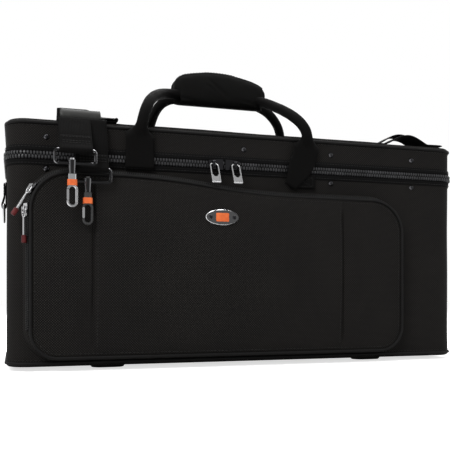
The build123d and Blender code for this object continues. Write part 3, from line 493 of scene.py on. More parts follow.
cover = cover_fabric()
strap_web = webbing("strap_web", (0.0016, 0.0015, 0.0015), (0.0082, 0.0078, 0.0074), 1.7 * mm, 0.035)
tape_web = webbing("tape_web", (0.0026, 0.0026, 0.0027), (0.0095, 0.0092, 0.0094), 1.1 * mm, 0.04)
piping_cloth = piping_fabric()
grip_cloth = grip_fabric()
lining = plush()
board = pressed_board()
thread = moulded("thread", (0.014, 0.014, 0.014), (0.030, 0.029, 0.028), 0.6, 0.8, 0.5 * mm, 0.2)
teeth = moulded("teeth", (0.007, 0.007, 0.0075), (0.030, 0.030, 0.032), 0.30, 0.45, 0.6 * mm, 0.3)
fine_teeth = moulded("fine_teeth", (0.004, 0.004, 0.004), (0.013, 0.013, 0.013), 0.35, 0.5, 0.6 * mm, 0.2)
# chrome, dark_chrome and black_metal carry painted reflection: dark and bright bands by face direction
chrome = metal("chrome", (0.035, 0.035, 0.036), (0.84, 0.84, 0.85), 0.08, 0.18, 0.25, painted_reflection=0.7)
dark_chrome = metal("dark_chrome", (0.010, 0.010, 0.011), (0.17, 0.17, 0.18), 0.14, 0.28, 0.4, painted_reflection=0.95)
black_metal = metal("black_metal", (0.003, 0.003, 0.003), (0.30, 0.30, 0.31), 0.14, 0.24, 0.2, painted_reflection=0.95)
plastic = moulded("plastic", (0.0072, 0.0074, 0.0066), (0.0125, 0.0127, 0.0112), 0.40, 0.55, shine=0.28)
hook_plastic = moulded("hook_plastic", (0.006, 0.006, 0.006), (0.012, 0.012, 0.012), 0.22, 0.36, shine=0.55)
rubber = moulded("rubber", (0.012, 0.012, 0.012), (0.022, 0.022, 0.021), 0.6, 0.8, shine=0.3)
orange = moulded("orange", (0.55, 0.095, 0.020), (0.70, 0.150, 0.038), 0.38, 0.55, shine=0.3)
red_tip = moulded("red_tip", (0.045, 0.004, 0.005), (0.095, 0.009, 0.009), 0.35, 0.5, shine=0.2)
enamel = plate_enamel()


def paint(material, *names):
    """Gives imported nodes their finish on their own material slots."""
    for name in names:
        thing = nodes[name]
        for slot in thing.material_slots:
            slot.material = material


paint(board, "base_board", "lid_board")
paint(dark_chrome, "lid_rivets", "base_rivets", "badge_screws", "main_slider_1", "main_slider_2")
paint(chrome, "foot_screws", "d_ring_left", "d_ring_right", "main_pull_1", "main_pull_2", "pocket_slider_1",
      "pocket_slider_2", "pocket_pull_1", "pocket_pull_2", "hook_gate_1", "hook_gate_2", "snap_hook_1")
paint(black_metal, "strap_eye_1", "strap_eye_2")
paint(hook_plastic, "snap_hook_2")
paint(rubber, "feet")
paint(orange, "hook_band_1", "hook_band_2", "badge_inlay")
paint(red_tip, "pocket_pull_tip_1", "pocket_pull_tip_2")
paint(enamel, "badge_plate")


# Camera, light and floor

camera_place = (-0.279, middle_y - 0.8875, 0.086)
camera_turn = -17            # degrees from straight on
camera_lens = 54.8
picture_rise = 70 / 450      # the view's middle over the camera's height, as a share of the picture's width
surround_light = 0.28        # how strongly the surround lights the case; seen directly it is white
floor_glow = 0.68            # what the floor adds for the camera alone, to meet the white


def stage_and_light():
    """The photograph's camera, soft studio light and a pale floor under a white surround."""
    camera = bpy.data.cameras.new("camera")
    camera.lens = camera_lens
    camera.sensor_width = 36
    camera.shift_y = picture_rise
    view = bpy.data.objects.new("camera", camera)
    view.location = camera_place
    view.rotation_euler = (radians(90), 0, radians(camera_turn))
    bpy.context.scene.collection.objects.link(view)
    bpy.context.scene.camera = view

    world = bpy.data.worlds.new("surround")
    world.use_nodes = True
    bpy.context.scene.world = world
    tree = world.node_tree
    back = tree.nodes["Background"]
    ray = tree.nodes.new("ShaderNodeLightPath")
    seen = tree.nodes.new("ShaderNodeMath")
    seen.operation = "MAXIMUM"
    tree.links.new(ray.outputs["Is Camera Ray"], seen.inputs[0])
    glossy = tree.nodes.new("ShaderNodeMath")
    glossy.operation = "MAXIMUM"
    tree.links.new(ray.outputs["Is Glossy Ray"], glossy.inputs[0])
    tree.links.new(ray.outputs["Is Transmission Ray"], glossy.inputs[1])
    tree.links.new(glossy.outputs[0], seen.inputs[1])
    strength = tree.nodes.new("ShaderNodeMapRange")
    strength.inputs["To Min"].default_value = surround_light
    strength.inputs["To Max"].default_value = 1.0
    tree.links.new(seen.outputs[0], strength.inputs["Value"])
    tree.links.new(strength.outputs["Result"], back.inputs["Strength"])
    back.inputs["Color"].default_value = (1, 1, 1, 1)

    for name, place, aim, size, power in (
            ("key", (-1.25, -1.35, 1.5), (-0.1, -0.05, 0.2), 1.1, 39),
            ("fill", (1.5, -1.3, 0.7), (0, -0.05, 0.2), 1.4, 5),
            ("top", (0.1, 0.2, 2.1), (0, 0, 0.2), 1.4, 22),
            ("back", (0.4, 1.9, 1.2), (0, 0, 0.2), 1.4, 32)):
        light = bpy.data.lights.new(name, "AREA")
        light.size = size
        light.energy = power
        lamp = bpy.data.objects.new(name, light)
        lamp.location = place
        lamp.rotation_euler = (Vector(aim) - Vector(place)).to_track_quat("-Z", "Y").to_euler()
        bpy.context.scene.collection.objects.link(lamp)

    floor = piece("floor", [(-6, -6, 0), (6, -6, 0), (6, 6, 0), (-6, 6, 0)], [(0, 1, 2, 3)])
    n = Nodes("floor")
    speck = n.noise(0.4, detail=2.0)
    colour = n.mix(n.ramp(speck, 0.3, 0.7), (0.86, 0.86, 0.86), (0.88, 0.88, 0.88))
    n.finish(colour)
    n.set(Roughness=0.9, Specular_IOR_Level=0.1)
    glow = n.node("ShaderNodeEmission", {"Color": (1, 1, 1, 1)})
    light_path = n.node("ShaderNodeLightPath")
    n.tree.links.new(n.math("MULTIPLY", light_path.outputs["Is Camera Ray"], floor_glow), glow.inputs["Strength"])
    both = n.node("ShaderNodeAddShader")
    n.tree.links.new(n.shader.outputs[0], both.inputs[0])
    n.tree.links.new(glow.outputs[0], both.inputs[1])
    n.tree.links.new(both.outputs[0], n.tree.nodes["Material Output"].inputs["Surface"])
    floor.data.materials.append(n.material)
    bpy.context.scene.view_settings.view_transform = "Standard"


stage_and_light()


# Lines round the case, and round the pocket

def round_case(out, closed=True):
    """Points round the case's plan with their outward directions, from the middle of the back and on by its left.

    An open line starts and ends where the main zip does, and leaves the back out.
    """
    radius = max(corner_radius + out, 0.4 * mm)
    in_x, in_y = half_x + out - radius, half_y + out - radius
    spots = []

    def run(start, end, way, count):
        for k in range(count):
            at = Vector(start).lerp(Vector(end), k / count)
            spots.append((at, Vector(way)))

    def turn(centre, first):
        for k in range(10):
            angle = first + pi / 2 * k / 10
            way = Vector((cos(angle), sin(angle)))
            spots.append((Vector(centre) + way * radius, way))

    count_x = int((half_x - corner_radius) / (4 * mm))
    count_y = int(2 * (half_y - corner_radius) / (4 * mm))
    run((0, in_y + radius), (-in_x, in_y + radius), (0, 1), count_x)
    turn((-in_x, in_y), pi / 2)
    run((-in_x - radius, in_y), (-in_x - radius, -in_y), (-1, 0), count_y)
    turn((-in_x, -in_y), pi)
    run((-in_x, -in_y - radius), (in_x, -in_y - radius), (0, -1), count_x)
    turn((in_x, -in_y), 1.5 * pi)
    run((in_x + radius, -in_y), (in_x + radius, in_y), (1, 0), count_y)
    turn((in_x, in_y), 0)
    run((in_x, in_y + radius), (0, in_y + radius), (0, 1), count_x)
    if not closed:
        spots = [(p, way) for p, way in spots if p.y <= zip_end_y - middle_y + 0.1 * mm]
    return [(Vector((p.x, p.y + middle_y, 0)), Vector((way.x, way.y, 0))) for p, way in spots]


def band_round_case(name, profile, closed=True, wave=None):
    """A band round the case from a closed profile of (out, height) points."""
    rings = []
    base = round_case(0, closed)
    for p, way in base:
        ring = []
        for out, height in profile:
            extra = wave(p, way, height) if wave else 0.0
            ring.append(p + way * (out + extra) + Vector((0, 0, height)))
        rings.append(ring)
    if closed:
        rings.append(rings[0])
    thing = rings_to_mesh(name, rings, caps=not closed)
    return outward_faces(thing)


pocket_left = -half_x + 26 * mm
pocket_right = half_x - 91 * mm
pocket_bottom = 16 * mm
pocket_high_left = seam_z - 21 * mm
pocket_high_right = seam_z - 37 * mm
curve_start = pocket_left + 89 * mm
curve_end = pocket_right - 142 * mm
curve_fall, curve_span = pocket_high_left - pocket_high_right, curve_end - curve_start
curve_bend = ((curve_span / 2) ** 2 + (curve_fall / 2) ** 2) / curve_fall      # radius of both halves of the curve
pocket_top_radius = 42 * mm
pocket_bottom_radius = 30 * mm
pocket_rim = 14 * mm
band_width = 8 * mm
bottom_band = 4.6 * mm
surface_y = front_y - 0.1 * mm
rim_y = surface_y - pocket_rim


def pocket_line(grow=0.0, grow_bottom=None):
    """The pocket's outline as (x, z, outward x, outward z), from the lower left corner up and over to the right."""
    low_grow = grow if grow_bottom is None else grow_bottom
    left, right, bottom = pocket_left - grow, pocket_right + grow, pocket_bottom - low_grow
    high_left, high_right = pocket_high_left + grow, pocket_high_right + grow
    top_turn, low_turn = pocket_top_radius + grow, pocket_bottom_radius + grow
    slant = 2 * atan2(curve_fall, curve_span)
    spots = []

    def run(a, b, way):
        count = max(int(round((Vector(b) - Vector(a)).length / (5 * mm))), 1)
        for k in range(count):
            at = Vector(a).lerp(Vector(b), k / count)
            spots.append((at.x, at.y, *way))

    def turn(centre, radius, first, last, steps, sign=1):
        for k in range(steps):
            angle = first + (last - first) * k / steps
            spots.append((centre[0] + cos(angle) * radius, centre[1] + sin(angle) * radius,
                          cos(angle) * sign, sin(angle) * sign))

    run((left, bottom + low_turn), (left, high_left - top_turn), (-1, 0))
    turn((left + top_turn, high_left - top_turn), top_turn, pi, pi / 2, 16)
    run((left + top_turn, high_left), (curve_start, high_left), (0, 1))
    turn((curve_start, pocket_high_left - curve_bend), curve_bend + grow, pi / 2, pi / 2 - slant, 24)
    turn((curve_end, pocket_high_right + curve_bend), curve_bend - grow, 1.5 * pi - slant, 1.5 * pi, 24, -1)
    run((curve_end, high_right), (right - top_turn, high_right), (0, 1))
    turn((right - top_turn, high_right - top_turn), top_turn, pi / 2, 0, 16)
    run((right, high_right - top_turn), (right, bottom + low_turn), (1, 0))
    turn((right - low_turn, bottom + low_turn), low_turn, 0, -pi / 2, 14)
    run((right - low_turn, bottom), (left + low_turn, bottom), (0, -1))
    turn((left + low_turn, bottom + low_turn), low_turn, -pi / 2, -pi, 14)
    return spots


pocket_ways = [(nx, nz) for _, _, nx, nz in pocket_line()]


def over_height(ring, lowest):
    """Which points of a ring round the pocket lie over a height, leaving out its lower edge."""
    return [i for i, p in enumerate(ring) if p.z >= lowest and pocket_ways[i][1] > -0.2]


def pocket_ring(share, out=0.0):
    """Points round the pocket's sloping band at a share of its depth, raised by out from the slope."""
    slope = Vector((pocket_rim, band_width)).normalized()
    grow = band_width * (1 - share) + out * slope.x
    grow_bottom = bottom_band * (1 - share) + out * slope.x
    y = surface_y - share * pocket_rim - out * slope.y
    return [Vector((x, y, z)) for x, z, _, _ in pocket_line(grow, grow_bottom)]


# Base and lid covers, their piping and the padding inside

def sink(p, height):
    """How far the cloth lies behind the board's face: drawn in a little, and uneven between its seams."""
    seams = (bottom_z + 8 * mm, seam_z, top_z - 8 * mm)
    near = min(abs(height - s) for s in seams)
    slack = blend_step(0, 30 * mm, near)
    place = p + Vector((0, 0, height))
    pucker = wrinkle(place, 11 * mm, 4.0) * (1 - blend_step(2 * mm, 16 * mm, near))
    return -(0.35 + 0.35 * wrinkle(place, 70 * mm, 1.0) * slack + 0.3 * pucker) * mm * (0.3 + 0.7 * slack)


def cover_shell(name, rim_z, end_z, sign):
    """A woven cover: hemmed rim, walls, rounded edge and a closed face that lies flat on its board."""
    edge = 3 * mm
    wall = 1.3 * mm
    span = abs(end_z - rim_z) - edge
    rows = [(-wall, rim_z + sign * 1.2 * mm), (-wall, rim_z), (-0.35 * mm, rim_z),
            (-0.02 * mm, rim_z + sign * 0.4 * mm)]
    rows += [(0.0, rim_z + sign * span * k / 24) for k in range(1, 25)]
    rows += [(-edge + edge * cos(a), end_z - sign * edge * (1 - sin(a))) for a in (pi / 8, pi / 4, 3 * pi / 8)]
    face_rows = [(-edge - d, end_z) for d in (0, 3 * mm, 8 * mm, 18 * mm, 34 * mm, 52 * mm, 70 * mm, 84 * mm)]
    base = round_case(0)
    walk = [0.0]
    for (a, _), (b, _) in zip(base, base[1:]):
        walk.append(walk[-1] + (b - a).length)
    points, lay = [], []
    for out, z in rows:
        for (p, way), s in zip(base, walk):
            push = sink(p, z) if out == 0.0 else 0.0
            points.append(p + way * (out + push) + Vector((0, 0, z)))
            lay.append((s, z))
    for out, z in face_rows:
        for (p, way), s in zip(round_case(out), walk):
            dip = 0.0 if abs(out) < 5 * mm else 0.5 * mm * (1 + wrinkle(p, 90 * mm, 7.0)) * 0.5
            points.append(p + Vector((0, 0, z - sign * dip)))
            lay.append((p.x, p.y))
    count = len(base)
    total = len(rows) + len(face_rows)
    faces = ring_faces(total, count, count)
    faces.append(tuple((total - 1) * count + j for j in range(count)))
    thing = piece(name, points, faces, lay)
    outward_faces(thing)
    apply_modifier(thing, "SOLIDIFY", thickness=0.9 * mm, offset=-1.0)
    return thing


dress(cover_shell("base_cloth", base_high.z, bottom_z, -1), cover, "base", "outer_fabric", "base_cover")
dress(cover_shell("lid_cloth", lid_low.z, top_z, 1), cover, "lid", "outer_fabric", "lid_cover")


def piping_bead(name, z):
    """A cord in its cloth, sewn into the edge seam, with the flat of the cloth beside it."""
    radius = 1.85 * mm
    centre = 0.35 * mm
    profile = [(centre + radius * cos(a), z + radius * sin(a)) for a in
               [-pi * 0.62 + pi * 1.24 * k / 12 for k in range(13)]]
    profile += [(0.1 * mm, z + 1.7 * mm), (0.0, z + 1.0 * mm), (0.0, z - 1.0 * mm), (0.1 * mm, z - 1.7 * mm)]
    return band_round_case(name, profile, wave=lambda p, way, h: 0.12 * mm * wrinkle(p, 8 * mm, 2.0)
                           if abs(h - z) < 1.5 * mm else 0.0)


piping_inset = 4.2 * mm
dress(piping_bead("base_edge_piping", bottom_z + piping_inset), piping_cloth, "base", "piping_cord", "base_piping")
dress(piping_bead("lid_edge_piping", top_z - piping_inset), piping_cloth, "lid", "piping_cord", "lid_piping")


def spaced_round_case(line, pitch):
    """Places every pitch along a level line round the case, each with the direction along it and away from the case."""
    spots = []
    for place, ahead, _ in spaced(line, pitch, (0, 0, 1)):
        out = Vector((ahead.y, -ahead.x, 0))
        spots.append((place, ahead, out if out.dot(place - Vector((0, middle_y, place.z))) > 0 else -out))
    return spots


def edge_stitches(name, z, body):
    """Thread beside the piping, all round."""
    line = [p + way * 0.1 * mm + Vector((0, 0, z)) for p, way in round_case(0)]
    return stitches(name, [spaced_round_case(line, 4.6 * mm)], thread, body)


edge_stitches("base_edge_stitches", bottom_z + piping_inset + 3.4 * mm, "base")
edge_stitches("lid_edge_stitches", top_z - piping_inset - 3.4 * mm, "lid")


# Main zip: a tape with a sewn edge on each side, and moulded teeth that meet at the seam

def zip_tape(name, near, far):
    """Half of the zip's tape, from the seam side to its far edge, with a raised bound edge."""
    sign = 1 if far > near else -1
    low, high = 0.05 * mm, 0.75 * mm
    profile = [(low, near), (high, near), (high, near + sign * 5.2 * mm), (high + 0.45 * mm, near + sign * 6.0 * mm),
               (high + 0.45 * mm, far - sign * 3.2 * mm), (high, far - sign * 2.6 * mm),
               (high + 0.2 * mm, far - sign * 1.2 * mm), (high, far), (low, far)]
    return band_round_case(name, profile, closed=False)


def tooth(points, faces, place, ahead, out, up, size):
    """One moulded tooth: long away from the seam, with a rounded back and a narrow head."""
    width, reach, proud = size
    start = len(points)
    outline = [(-0.1, 0.0, 0.55), (-0.1, 0.6, 0.5), (0.12, 0.92, 0.8), (0.45, 1.0, 1.0), (0.82, 0.9, 0.95),
               (1.0, 0.55, 0.75), (1.0, 0.0, 0.8)]
    for along, height, wide in outline:
        for side in (-1, 1):
            points.append(place + up * along * reach + out * height * proud + ahead * side * wide * width / 2)
    for k in range(len(outline) - 1):
        a = start + 2 * k
        faces.append((a, a + 1, a + 3, a + 2))
    faces.append(tuple(start + 2 * k for k in range(len(outline)))[::-1])
    faces.append(tuple(start + 2 * k + 1 for k in range(len(outline))))
    faces.append((start, start + 1, start + 2 * len(outline) - 1, start + 2 * len(outline) - 2))


def tooth_row(name, line, outs, pitch, shift, up, size):
    """Teeth along a line of points; outs gives the outward direction at each of them, up the way from the seam."""
    points, faces = [], []
    left = pitch * shift
    for i, (a, b) in enumerate(zip(line, line[1:])):
        step = (b - a).length
        if step < 1e-7:
            continue
        ahead = (b - a) / step
        at = left
        while at < step:
            out = outs[i].lerp(outs[min(i + 1, len(outs) - 1)], at / step).normalized()
            away = up(ahead, out)
            tooth(points, faces, a + ahead * at, ahead, out, away, size)
            at += pitch
        left = at - step
    return outward_faces(piece(name, points, faces, smooth=False))


zip_round = round_case(0.75 * mm, closed=False)
main_pitch = 3.5 * mm
main_tooth = (2.3 * mm, 3.9 * mm, 2.3 * mm)
for body, node, edge, far, sign, shift in (("base", "base_zip", base_high.z, seam_z - 11 * mm, -1, 0.25),
                                           ("lid", "lid_zip", lid_low.z, seam_z + 11 * mm, 1, 0.75)):
    dress(zip_tape(f"{body}_tape", edge, far), tape_web, body, "webbing", node)
    row_line = [p + Vector((0, 0, edge + sign * 0.15 * mm)) for p, _ in zip_round]
    row_out = [way for _, way in zip_round]
    dress(tooth_row(f"{body}_teeth", row_line, row_out, main_pitch, shift,
                    lambda ahead, out, s=sign: Vector((0, 0, s)), main_tooth), teeth, body, "zip_coil", node)
    sewn = [p + way * 0.5 * mm + Vector((0, 0, far - sign * 1.9 * mm)) for p, way in zip_round]
    stitches(f"{body}_tape_stitches", [spaced_round_case(sewn, 3.8 * mm)], thread, body, thick=0.24 * mm)


def back_hinge():
    """The sewn fabric hinge: one ribbed band over the seam at the back."""
    low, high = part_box("base_hinge_tape")[0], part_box("lid_hinge_tape")[1]
    columns, rows = 120, 26
    points, lay, faces = [], [], []
    for r in range(rows + 1):
        z = low.z + (high.z - low.z) * r / rows
        for c in range(columns + 1):
            x = low.x + (high.x - low.x) * c / columns
            lift = 0.5 * mm + 0.35 * mm * bump_at(z, seam_z, 5 * mm) + 0.12 * mm * wrinkle((x, 0, z), 14 * mm, 9.0)
            points.append((x, back_y + lift, z))
            lay.append((x, z))
    for r in range(rows):
        for c in range(columns):
            a = r * (columns + 1) + c
            faces.append((a, a + columns + 1, a + columns + 2, a + 1))
    thing = piece("hinge_cloth", points, faces, lay)
    apply_modifier(thing, "SOLIDIFY", thickness=0.8 * mm, offset=0.0)
    return thing


hinge = dress(back_hinge(), tape_web, None, "webbing", "base_hinge_tape", "lid_hinge_tape")
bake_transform(hinge, "base", "lid", (0, back_y, seam_z - 3 * mm), (0, back_y, seam_z + 3 * mm))
hinge_low, hinge_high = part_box("base_hinge_tape")[0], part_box("lid_hinge_tape")[1]
for body, heights in (("base", (hinge_low.z + 3 * mm, seam_z - 8 * mm)),
                      ("lid", (hinge_high.z - 3 * mm, seam_z + 8 * mm))):
    rows = [spaced([Vector((hinge_low.x + 2 * mm, back_y + 1.0 * mm, z)),
                    Vector((hinge_high.x - 2 * mm, back_y + 1.0 * mm, z))],
                   4.2 * mm, (0, 1, 0)) for z in heights]
    stitches(f"hinge_stitches_{body}", rows, thread, body)


# Pocket on the front

def pocket_band(name, profile, keep=None):
    """A band round the pocket from a closed profile of (share of depth, out) points; keep limits it by height."""
    columns = [pocket_ring(share, out) for share, out in profile]
    order = range(len(columns[0])) if keep is None else over_height(columns[0], keep)
    rings = [[column[i] for column in columns] for i in order]
    if keep is None:
        rings.append(rings[0])
    return outward_faces(rings_to_mesh(name, rings, caps=keep is not None))


band_split = 0.64
band_gap = 0.025
outer_end = band_split - band_gap
inner_start = band_split + band_gap
pocket_zip_low = pocket_bottom + pocket_bottom_radius / 2
wall = 1.4 * mm

gusset = pocket_band("gusset_cloth", [(0.0, -wall), (0.0, 0.0), (0.10, 0.25 * mm), (0.22, 0.05 * mm), (0.36, 0.1 * mm),
                                      (outer_end - 0.02, 0.0), (outer_end, -0.3 * mm), (outer_end, -wall)])
dress(gusset, cover, "base", "outer_fabric", "pocket_gusset")

small_pitch = 2.5 * mm
small_tooth = (1.5 * mm, 2.4 * mm, 1.4 * mm)
slope_out = Vector((pocket_rim, band_width)).normalized()
for body, node, name, edge_share, far_share, sign, shift in (
        ("base", "pocket_outer_zip", "pocket_outer", outer_end, 0.38, -1, 0.25),
        ("pocket_flap", "pocket_inner_zip", "pocket_inner", inner_start, 0.90, 1, 0.75)):
    inner = min(edge_share, far_share)
    outer = max(edge_share, far_share)
    tape = pocket_band(f"{name}_tape", [(inner, 0.05 * mm), (inner, 0.55 * mm), (outer, 0.55 * mm), (outer, 0.05 * mm)],
                       keep=pocket_zip_low)
    dress(tape, tape_web, body, "webbing", node)
    ring_line = pocket_ring(edge_share, 0.5 * mm)
    ways = [Vector((nx * slope_out.x, -slope_out.y, nz * slope_out.x)) for nx, nz in pocket_ways]
    use = over_height(ring_line, pocket_zip_low)

    def away(ahead, out, s=sign):
        across = ahead.cross(out).normalized()
        return across if across.y * s < 0 else -across

    dress(tooth_row(f"{name}_teeth", [ring_line[i] for i in use], [ways[i] for i in use], small_pitch, shift,
                    away, small_tooth), fine_teeth, body, "zip_coil", node)


pleat_left = pocket_left + 70 * mm
pleat_right = pocket_right - 87 * mm
pocket_crown = 8 * mm
panel_edge_y = rim_y - 0.4 * mm
panel_middle_x = (pocket_left + pocket_right) / 2
panel_middle_z = (pocket_bottom + pocket_high_left) / 2
panel_rise = (pocket_high_left - pocket_bottom) / 2
panel_span = (pocket_right - pocket_left) / 2


def outline_heights(x):
    """Lowest and highest point of the pocket's face over a place along it."""
    inset_left, inset_right = x - pocket_left, pocket_right - x
    low = pocket_bottom
    for inset in (inset_left, inset_right):
        if inset < pocket_bottom_radius:
            drop = pocket_bottom_radius - sqrt(max(pocket_bottom_radius ** 2 - (pocket_bottom_radius - inset) ** 2, 0))
            low = max(low, pocket_bottom + drop)
    if x <= curve_start:
        high = pocket_high_left
    elif x >= curve_end:
        high = pocket_high_right
    else:
        if x < (curve_start + curve_end) / 2:
            high = pocket_high_left - curve_bend + sqrt(curve_bend ** 2 - (x - curve_start) ** 2)
        else:
            high = pocket_high_right + curve_bend - sqrt(curve_bend ** 2 - (curve_end - x) ** 2)
    for inset in (inset_left, inset_right):
        if inset < pocket_top_radius:
            high -= pocket_top_radius - sqrt(max(pocket_top_radius ** 2 - (pocket_top_radius - inset) ** 2, 0))
    return low, high


def panel_face(x, z):
    """How far the pocket's cloth stands out of its rim: crowned, pleated, with soft folds beside the pleats."""
    s = min(abs(x - panel_middle_x) / panel_span, 1)
    t = min(abs(z - panel_middle_z) / panel_rise, 1)
    crown = pocket_crown * (1 - s ** 2.6) * (1 - t ** 2)
    inside = min(x - pocket_left, pocket_right - x, z - pocket_bottom, outline_heights(x)[1] - z)
    loose = blend_step(0, 26 * mm, inside)
    # the middle stands over the pleats' edges, which tuck under it
    tuck = blend_step(-1.4 * mm, 0.4 * mm, x - pleat_left) * (1 - blend_step(-0.4 * mm, 1.4 * mm, x - pleat_right))
    step = 1.7 * mm * tuck * blend_step(0, 14 * mm, inside)
    creases = -2.1 * mm * (bump_at(x, pleat_left - 2.2 * mm, 3.0 * mm)
                           + bump_at(x, pleat_right + 2.2 * mm, 3.0 * mm)) * loose
    # hollow beside the left pleat's foot, and the long shallow hollow over it
    foot = bump_at(x, pleat_left - 9 * mm, 14 * mm) * bump_at(z, pocket_bottom + 46 * mm, 42 * mm)
    top = bump_at(x, pleat_left - 16 * mm, 40 * mm) * bump_at(z, pocket_high_left - 44 * mm, 60 * mm)
    left_side = -3.0 * mm * foot - 1.2 * mm * top
    # a hollow down the right pleat, which opens into a fold that runs up to the right
    hollow = (bump_at(x, pleat_right + 13 * mm, 20 * mm)
              * blend_step(pocket_bottom + 20 * mm, pocket_bottom + 80 * mm, z))
    along = (x - pleat_right) * 0.62 + (z - pocket_bottom) * 0.78
    across = (x - pleat_right) * 0.78 - (z - pocket_bottom - 14 * mm) * 0.62
    fold = bump_at(across, 0, 13 * mm) * bump_at(along, 58 * mm, 64 * mm) * blend_step(0, 6 * mm, x - pleat_right)
    right_side = -2.6 * mm * hollow + 2.2 * mm * fold
    soft = 0.7 * mm * wrinkle((x, 0, z), 75 * mm, 5.0) + 0.16 * mm * wrinkle((x, 0, z), 17 * mm, 6.0)
    return max(crown * 0.94 + step + (creases + left_side + right_side + soft) * loose, 0.02 * mm)


plate_low, plate_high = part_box("badge_plate")
plate_middle = (plate_low + plate_high) / 2
plate_back = plate_high.y


def panel_skin():
    """The pocket's front cloth, on columns that crowd towards its ends and its pleats."""
    marks = [pocket_left + pocket_top_radius * (1 - cos(pi / 2 * k / 16)) for k in range(16)]
    x = pocket_left + pocket_top_radius
    while x < pocket_right - pocket_top_radius:
        marks.append(x)
        near = min(abs(x - pleat_left), abs(x - pleat_right))
        x += 0.7 * mm if near < 7 * mm else 3.2 * mm
    marks += [pocket_right - pocket_top_radius * (1 - cos(pi / 2 * k / 16)) for k in range(16, -1, -1)]
    rows = 74
    points, lay, faces = [], [], []
    for x in marks:
        low, high = outline_heights(x)
        for r in range(rows + 1):
            z = low + (high - low) * r / rows
            out = panel_face(x, z)
            # the plate presses the cloth flat behind it
            reach = sqrt(((x - plate_middle.x) / (26 * mm)) ** 2 + ((z - plate_middle.z) / (15 * mm)) ** 2)
            flat = panel_edge_y - plate_back - 0.15 * mm
            out += (flat - out) * (1 - blend_step(0.85, 1.5, reach))
            points.append((x, panel_edge_y - out, z))
            lay.append((x, z))
    for c in range(len(marks) - 1):
        for r in range(rows):
            a = c * (rows + 1) + r
            b = a + rows + 1
            faces.append((a, b, b + 1, a + 1))
    thing = piece("panel_cloth", points, faces, lay)
    apply_modifier(thing, "SOLIDIFY", thickness=1.4 * mm, offset=-1.0)
    return thing


panel = panel_skin()
skirt = pocket_band("panel_skirt", [(inner_start, -wall), (inner_start, -0.3 * mm), (inner_start + 0.02, 0.0),
                                    (0.86, 0.15 * mm), (0.97, 0.0), (1.0, -0.5 * mm), (1.0, -wall)])
dress(panel, cover, "pocket_flap", "outer_fabric", "pocket_panel")
dress(skirt, cover, "pocket_flap", "outer_fabric", "pocket_panel")


def pocket_bead():
    """Piping round the pocket's face."""
    radius = 1.75 * mm
    ring = pocket_line(0.35 * mm)
    centre = [Vector((x, rim_y - 1.5 * mm, z)) for x, z, _, _ in ring]
    rings = []
    for i, (x, z, nx, nz) in enumerate(ring):
        way = Vector((nx, 0, nz))
        size = radius * (1 + 0.05 * wrinkle((x, 0, z), 7 * mm, 8.0))
        rings.append([centre[i] + (way * cos(a) + Vector((0, -1, 0)) * sin(a)) * size
                      for a in [2 * pi * k / 12 for k in range(12)]])
    rings.append(rings[0])
    return outward_faces(rings_to_mesh("pocket_edge_piping", rings, caps=False))


dress(pocket_bead(), piping_cloth, "pocket_flap", "piping_cord", "pocket_piping")

seams = []
for x in (pleat_left + 2.2 * mm, pleat_right - 2.2 * mm):
    low, high = outline_heights(x)
    heights = [low + (high - low) * k / 60 for k in range(3, 58)]
    line = [Vector((x, panel_edge_y - panel_face(x, z) - 0.05 * mm, z)) for z in heights]
    seams.append(spaced(line, 4.4 * mm, (0, -1, 0)))
edge_line = [Vector((x, panel_edge_y - panel_face(x, z) - 0.05 * mm, z)) for x, z, _, _ in pocket_line(-4.2 * mm)]
seams.append(spaced(edge_line, 4.6 * mm, (0, -1, 0)))
stitches("panel_stitches", seams, thread, "pocket_flap")


# Webbing that is sewn down, and the loops that carry the end rings

def box_stitch(low, high, at, out, across, up):
    """Stitch places round a rectangle and along its diagonals, on a flat face."""
    corners = [(low[0], low[1]), (high[0], low[1]), (high[0], high[1]), (low[0], high[1])]
    spots = []
    runs = list(zip(corners, corners[1:] + corners[:1])) + [(corners[0], corners[2]), (corners[1], corners[3])]
    for a, b in runs:
        line = [at + across * a[0] + up * a[1], at + across * b[0] + up * b[1]]
        spots += spaced(line, 3.6 * mm, out)
    return spots


up_z = Vector((0, 0, 1))
along_x = Vector((1, 0, 0))
arm_half = 17 * mm
for node, way in (("front_anchors", -1), ("rear_anchors", 1)):
    low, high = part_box(node)
    out = Vector((0, way, 0))
    face = low.y if way < 0 else high.y
    patches = []
    rows = []
    for x, foot in ((low.x + arm_half, seam_z - 12 * mm), (high.x - arm_half, low.z)):
        line = [Vector((x, face - way * 1.1 * mm + way * 0.12 * mm * wrinkle((x, 0, z), 9 * mm, 3.0), z))
                for z in [foot + (high.z - foot) * k / 12 for k in range(13)]]
        patches.append(ribbon(f"{node}_{x:.3f}", line, (1, 0, 0), 34 * mm, 2.0 * mm, ripple=0.1 * mm, end_round=0.03))
        rise = high.z - foot
        if rise > 10 * mm:
            rows += box_stitch((-13.5 * mm, 2.4 * mm), (13.5 * mm, rise - 4 * mm), Vector((x, face, foot)),
                               out, along_x, up_z)
        else:
            for lift in (1.8 * mm, 3.6 * mm):
                rows += spaced([Vector((x - 14 * mm, face, foot + lift)), Vector((x + 14 * mm, face, foot + lift))],
                               3.4 * mm, out)
    dress(join(f"{node}_cloth", patches), strap_web, "base", "webbing", node)
    stitches(f"{node}_stitches", [rows], thread, "base", thick=0.16 * mm)

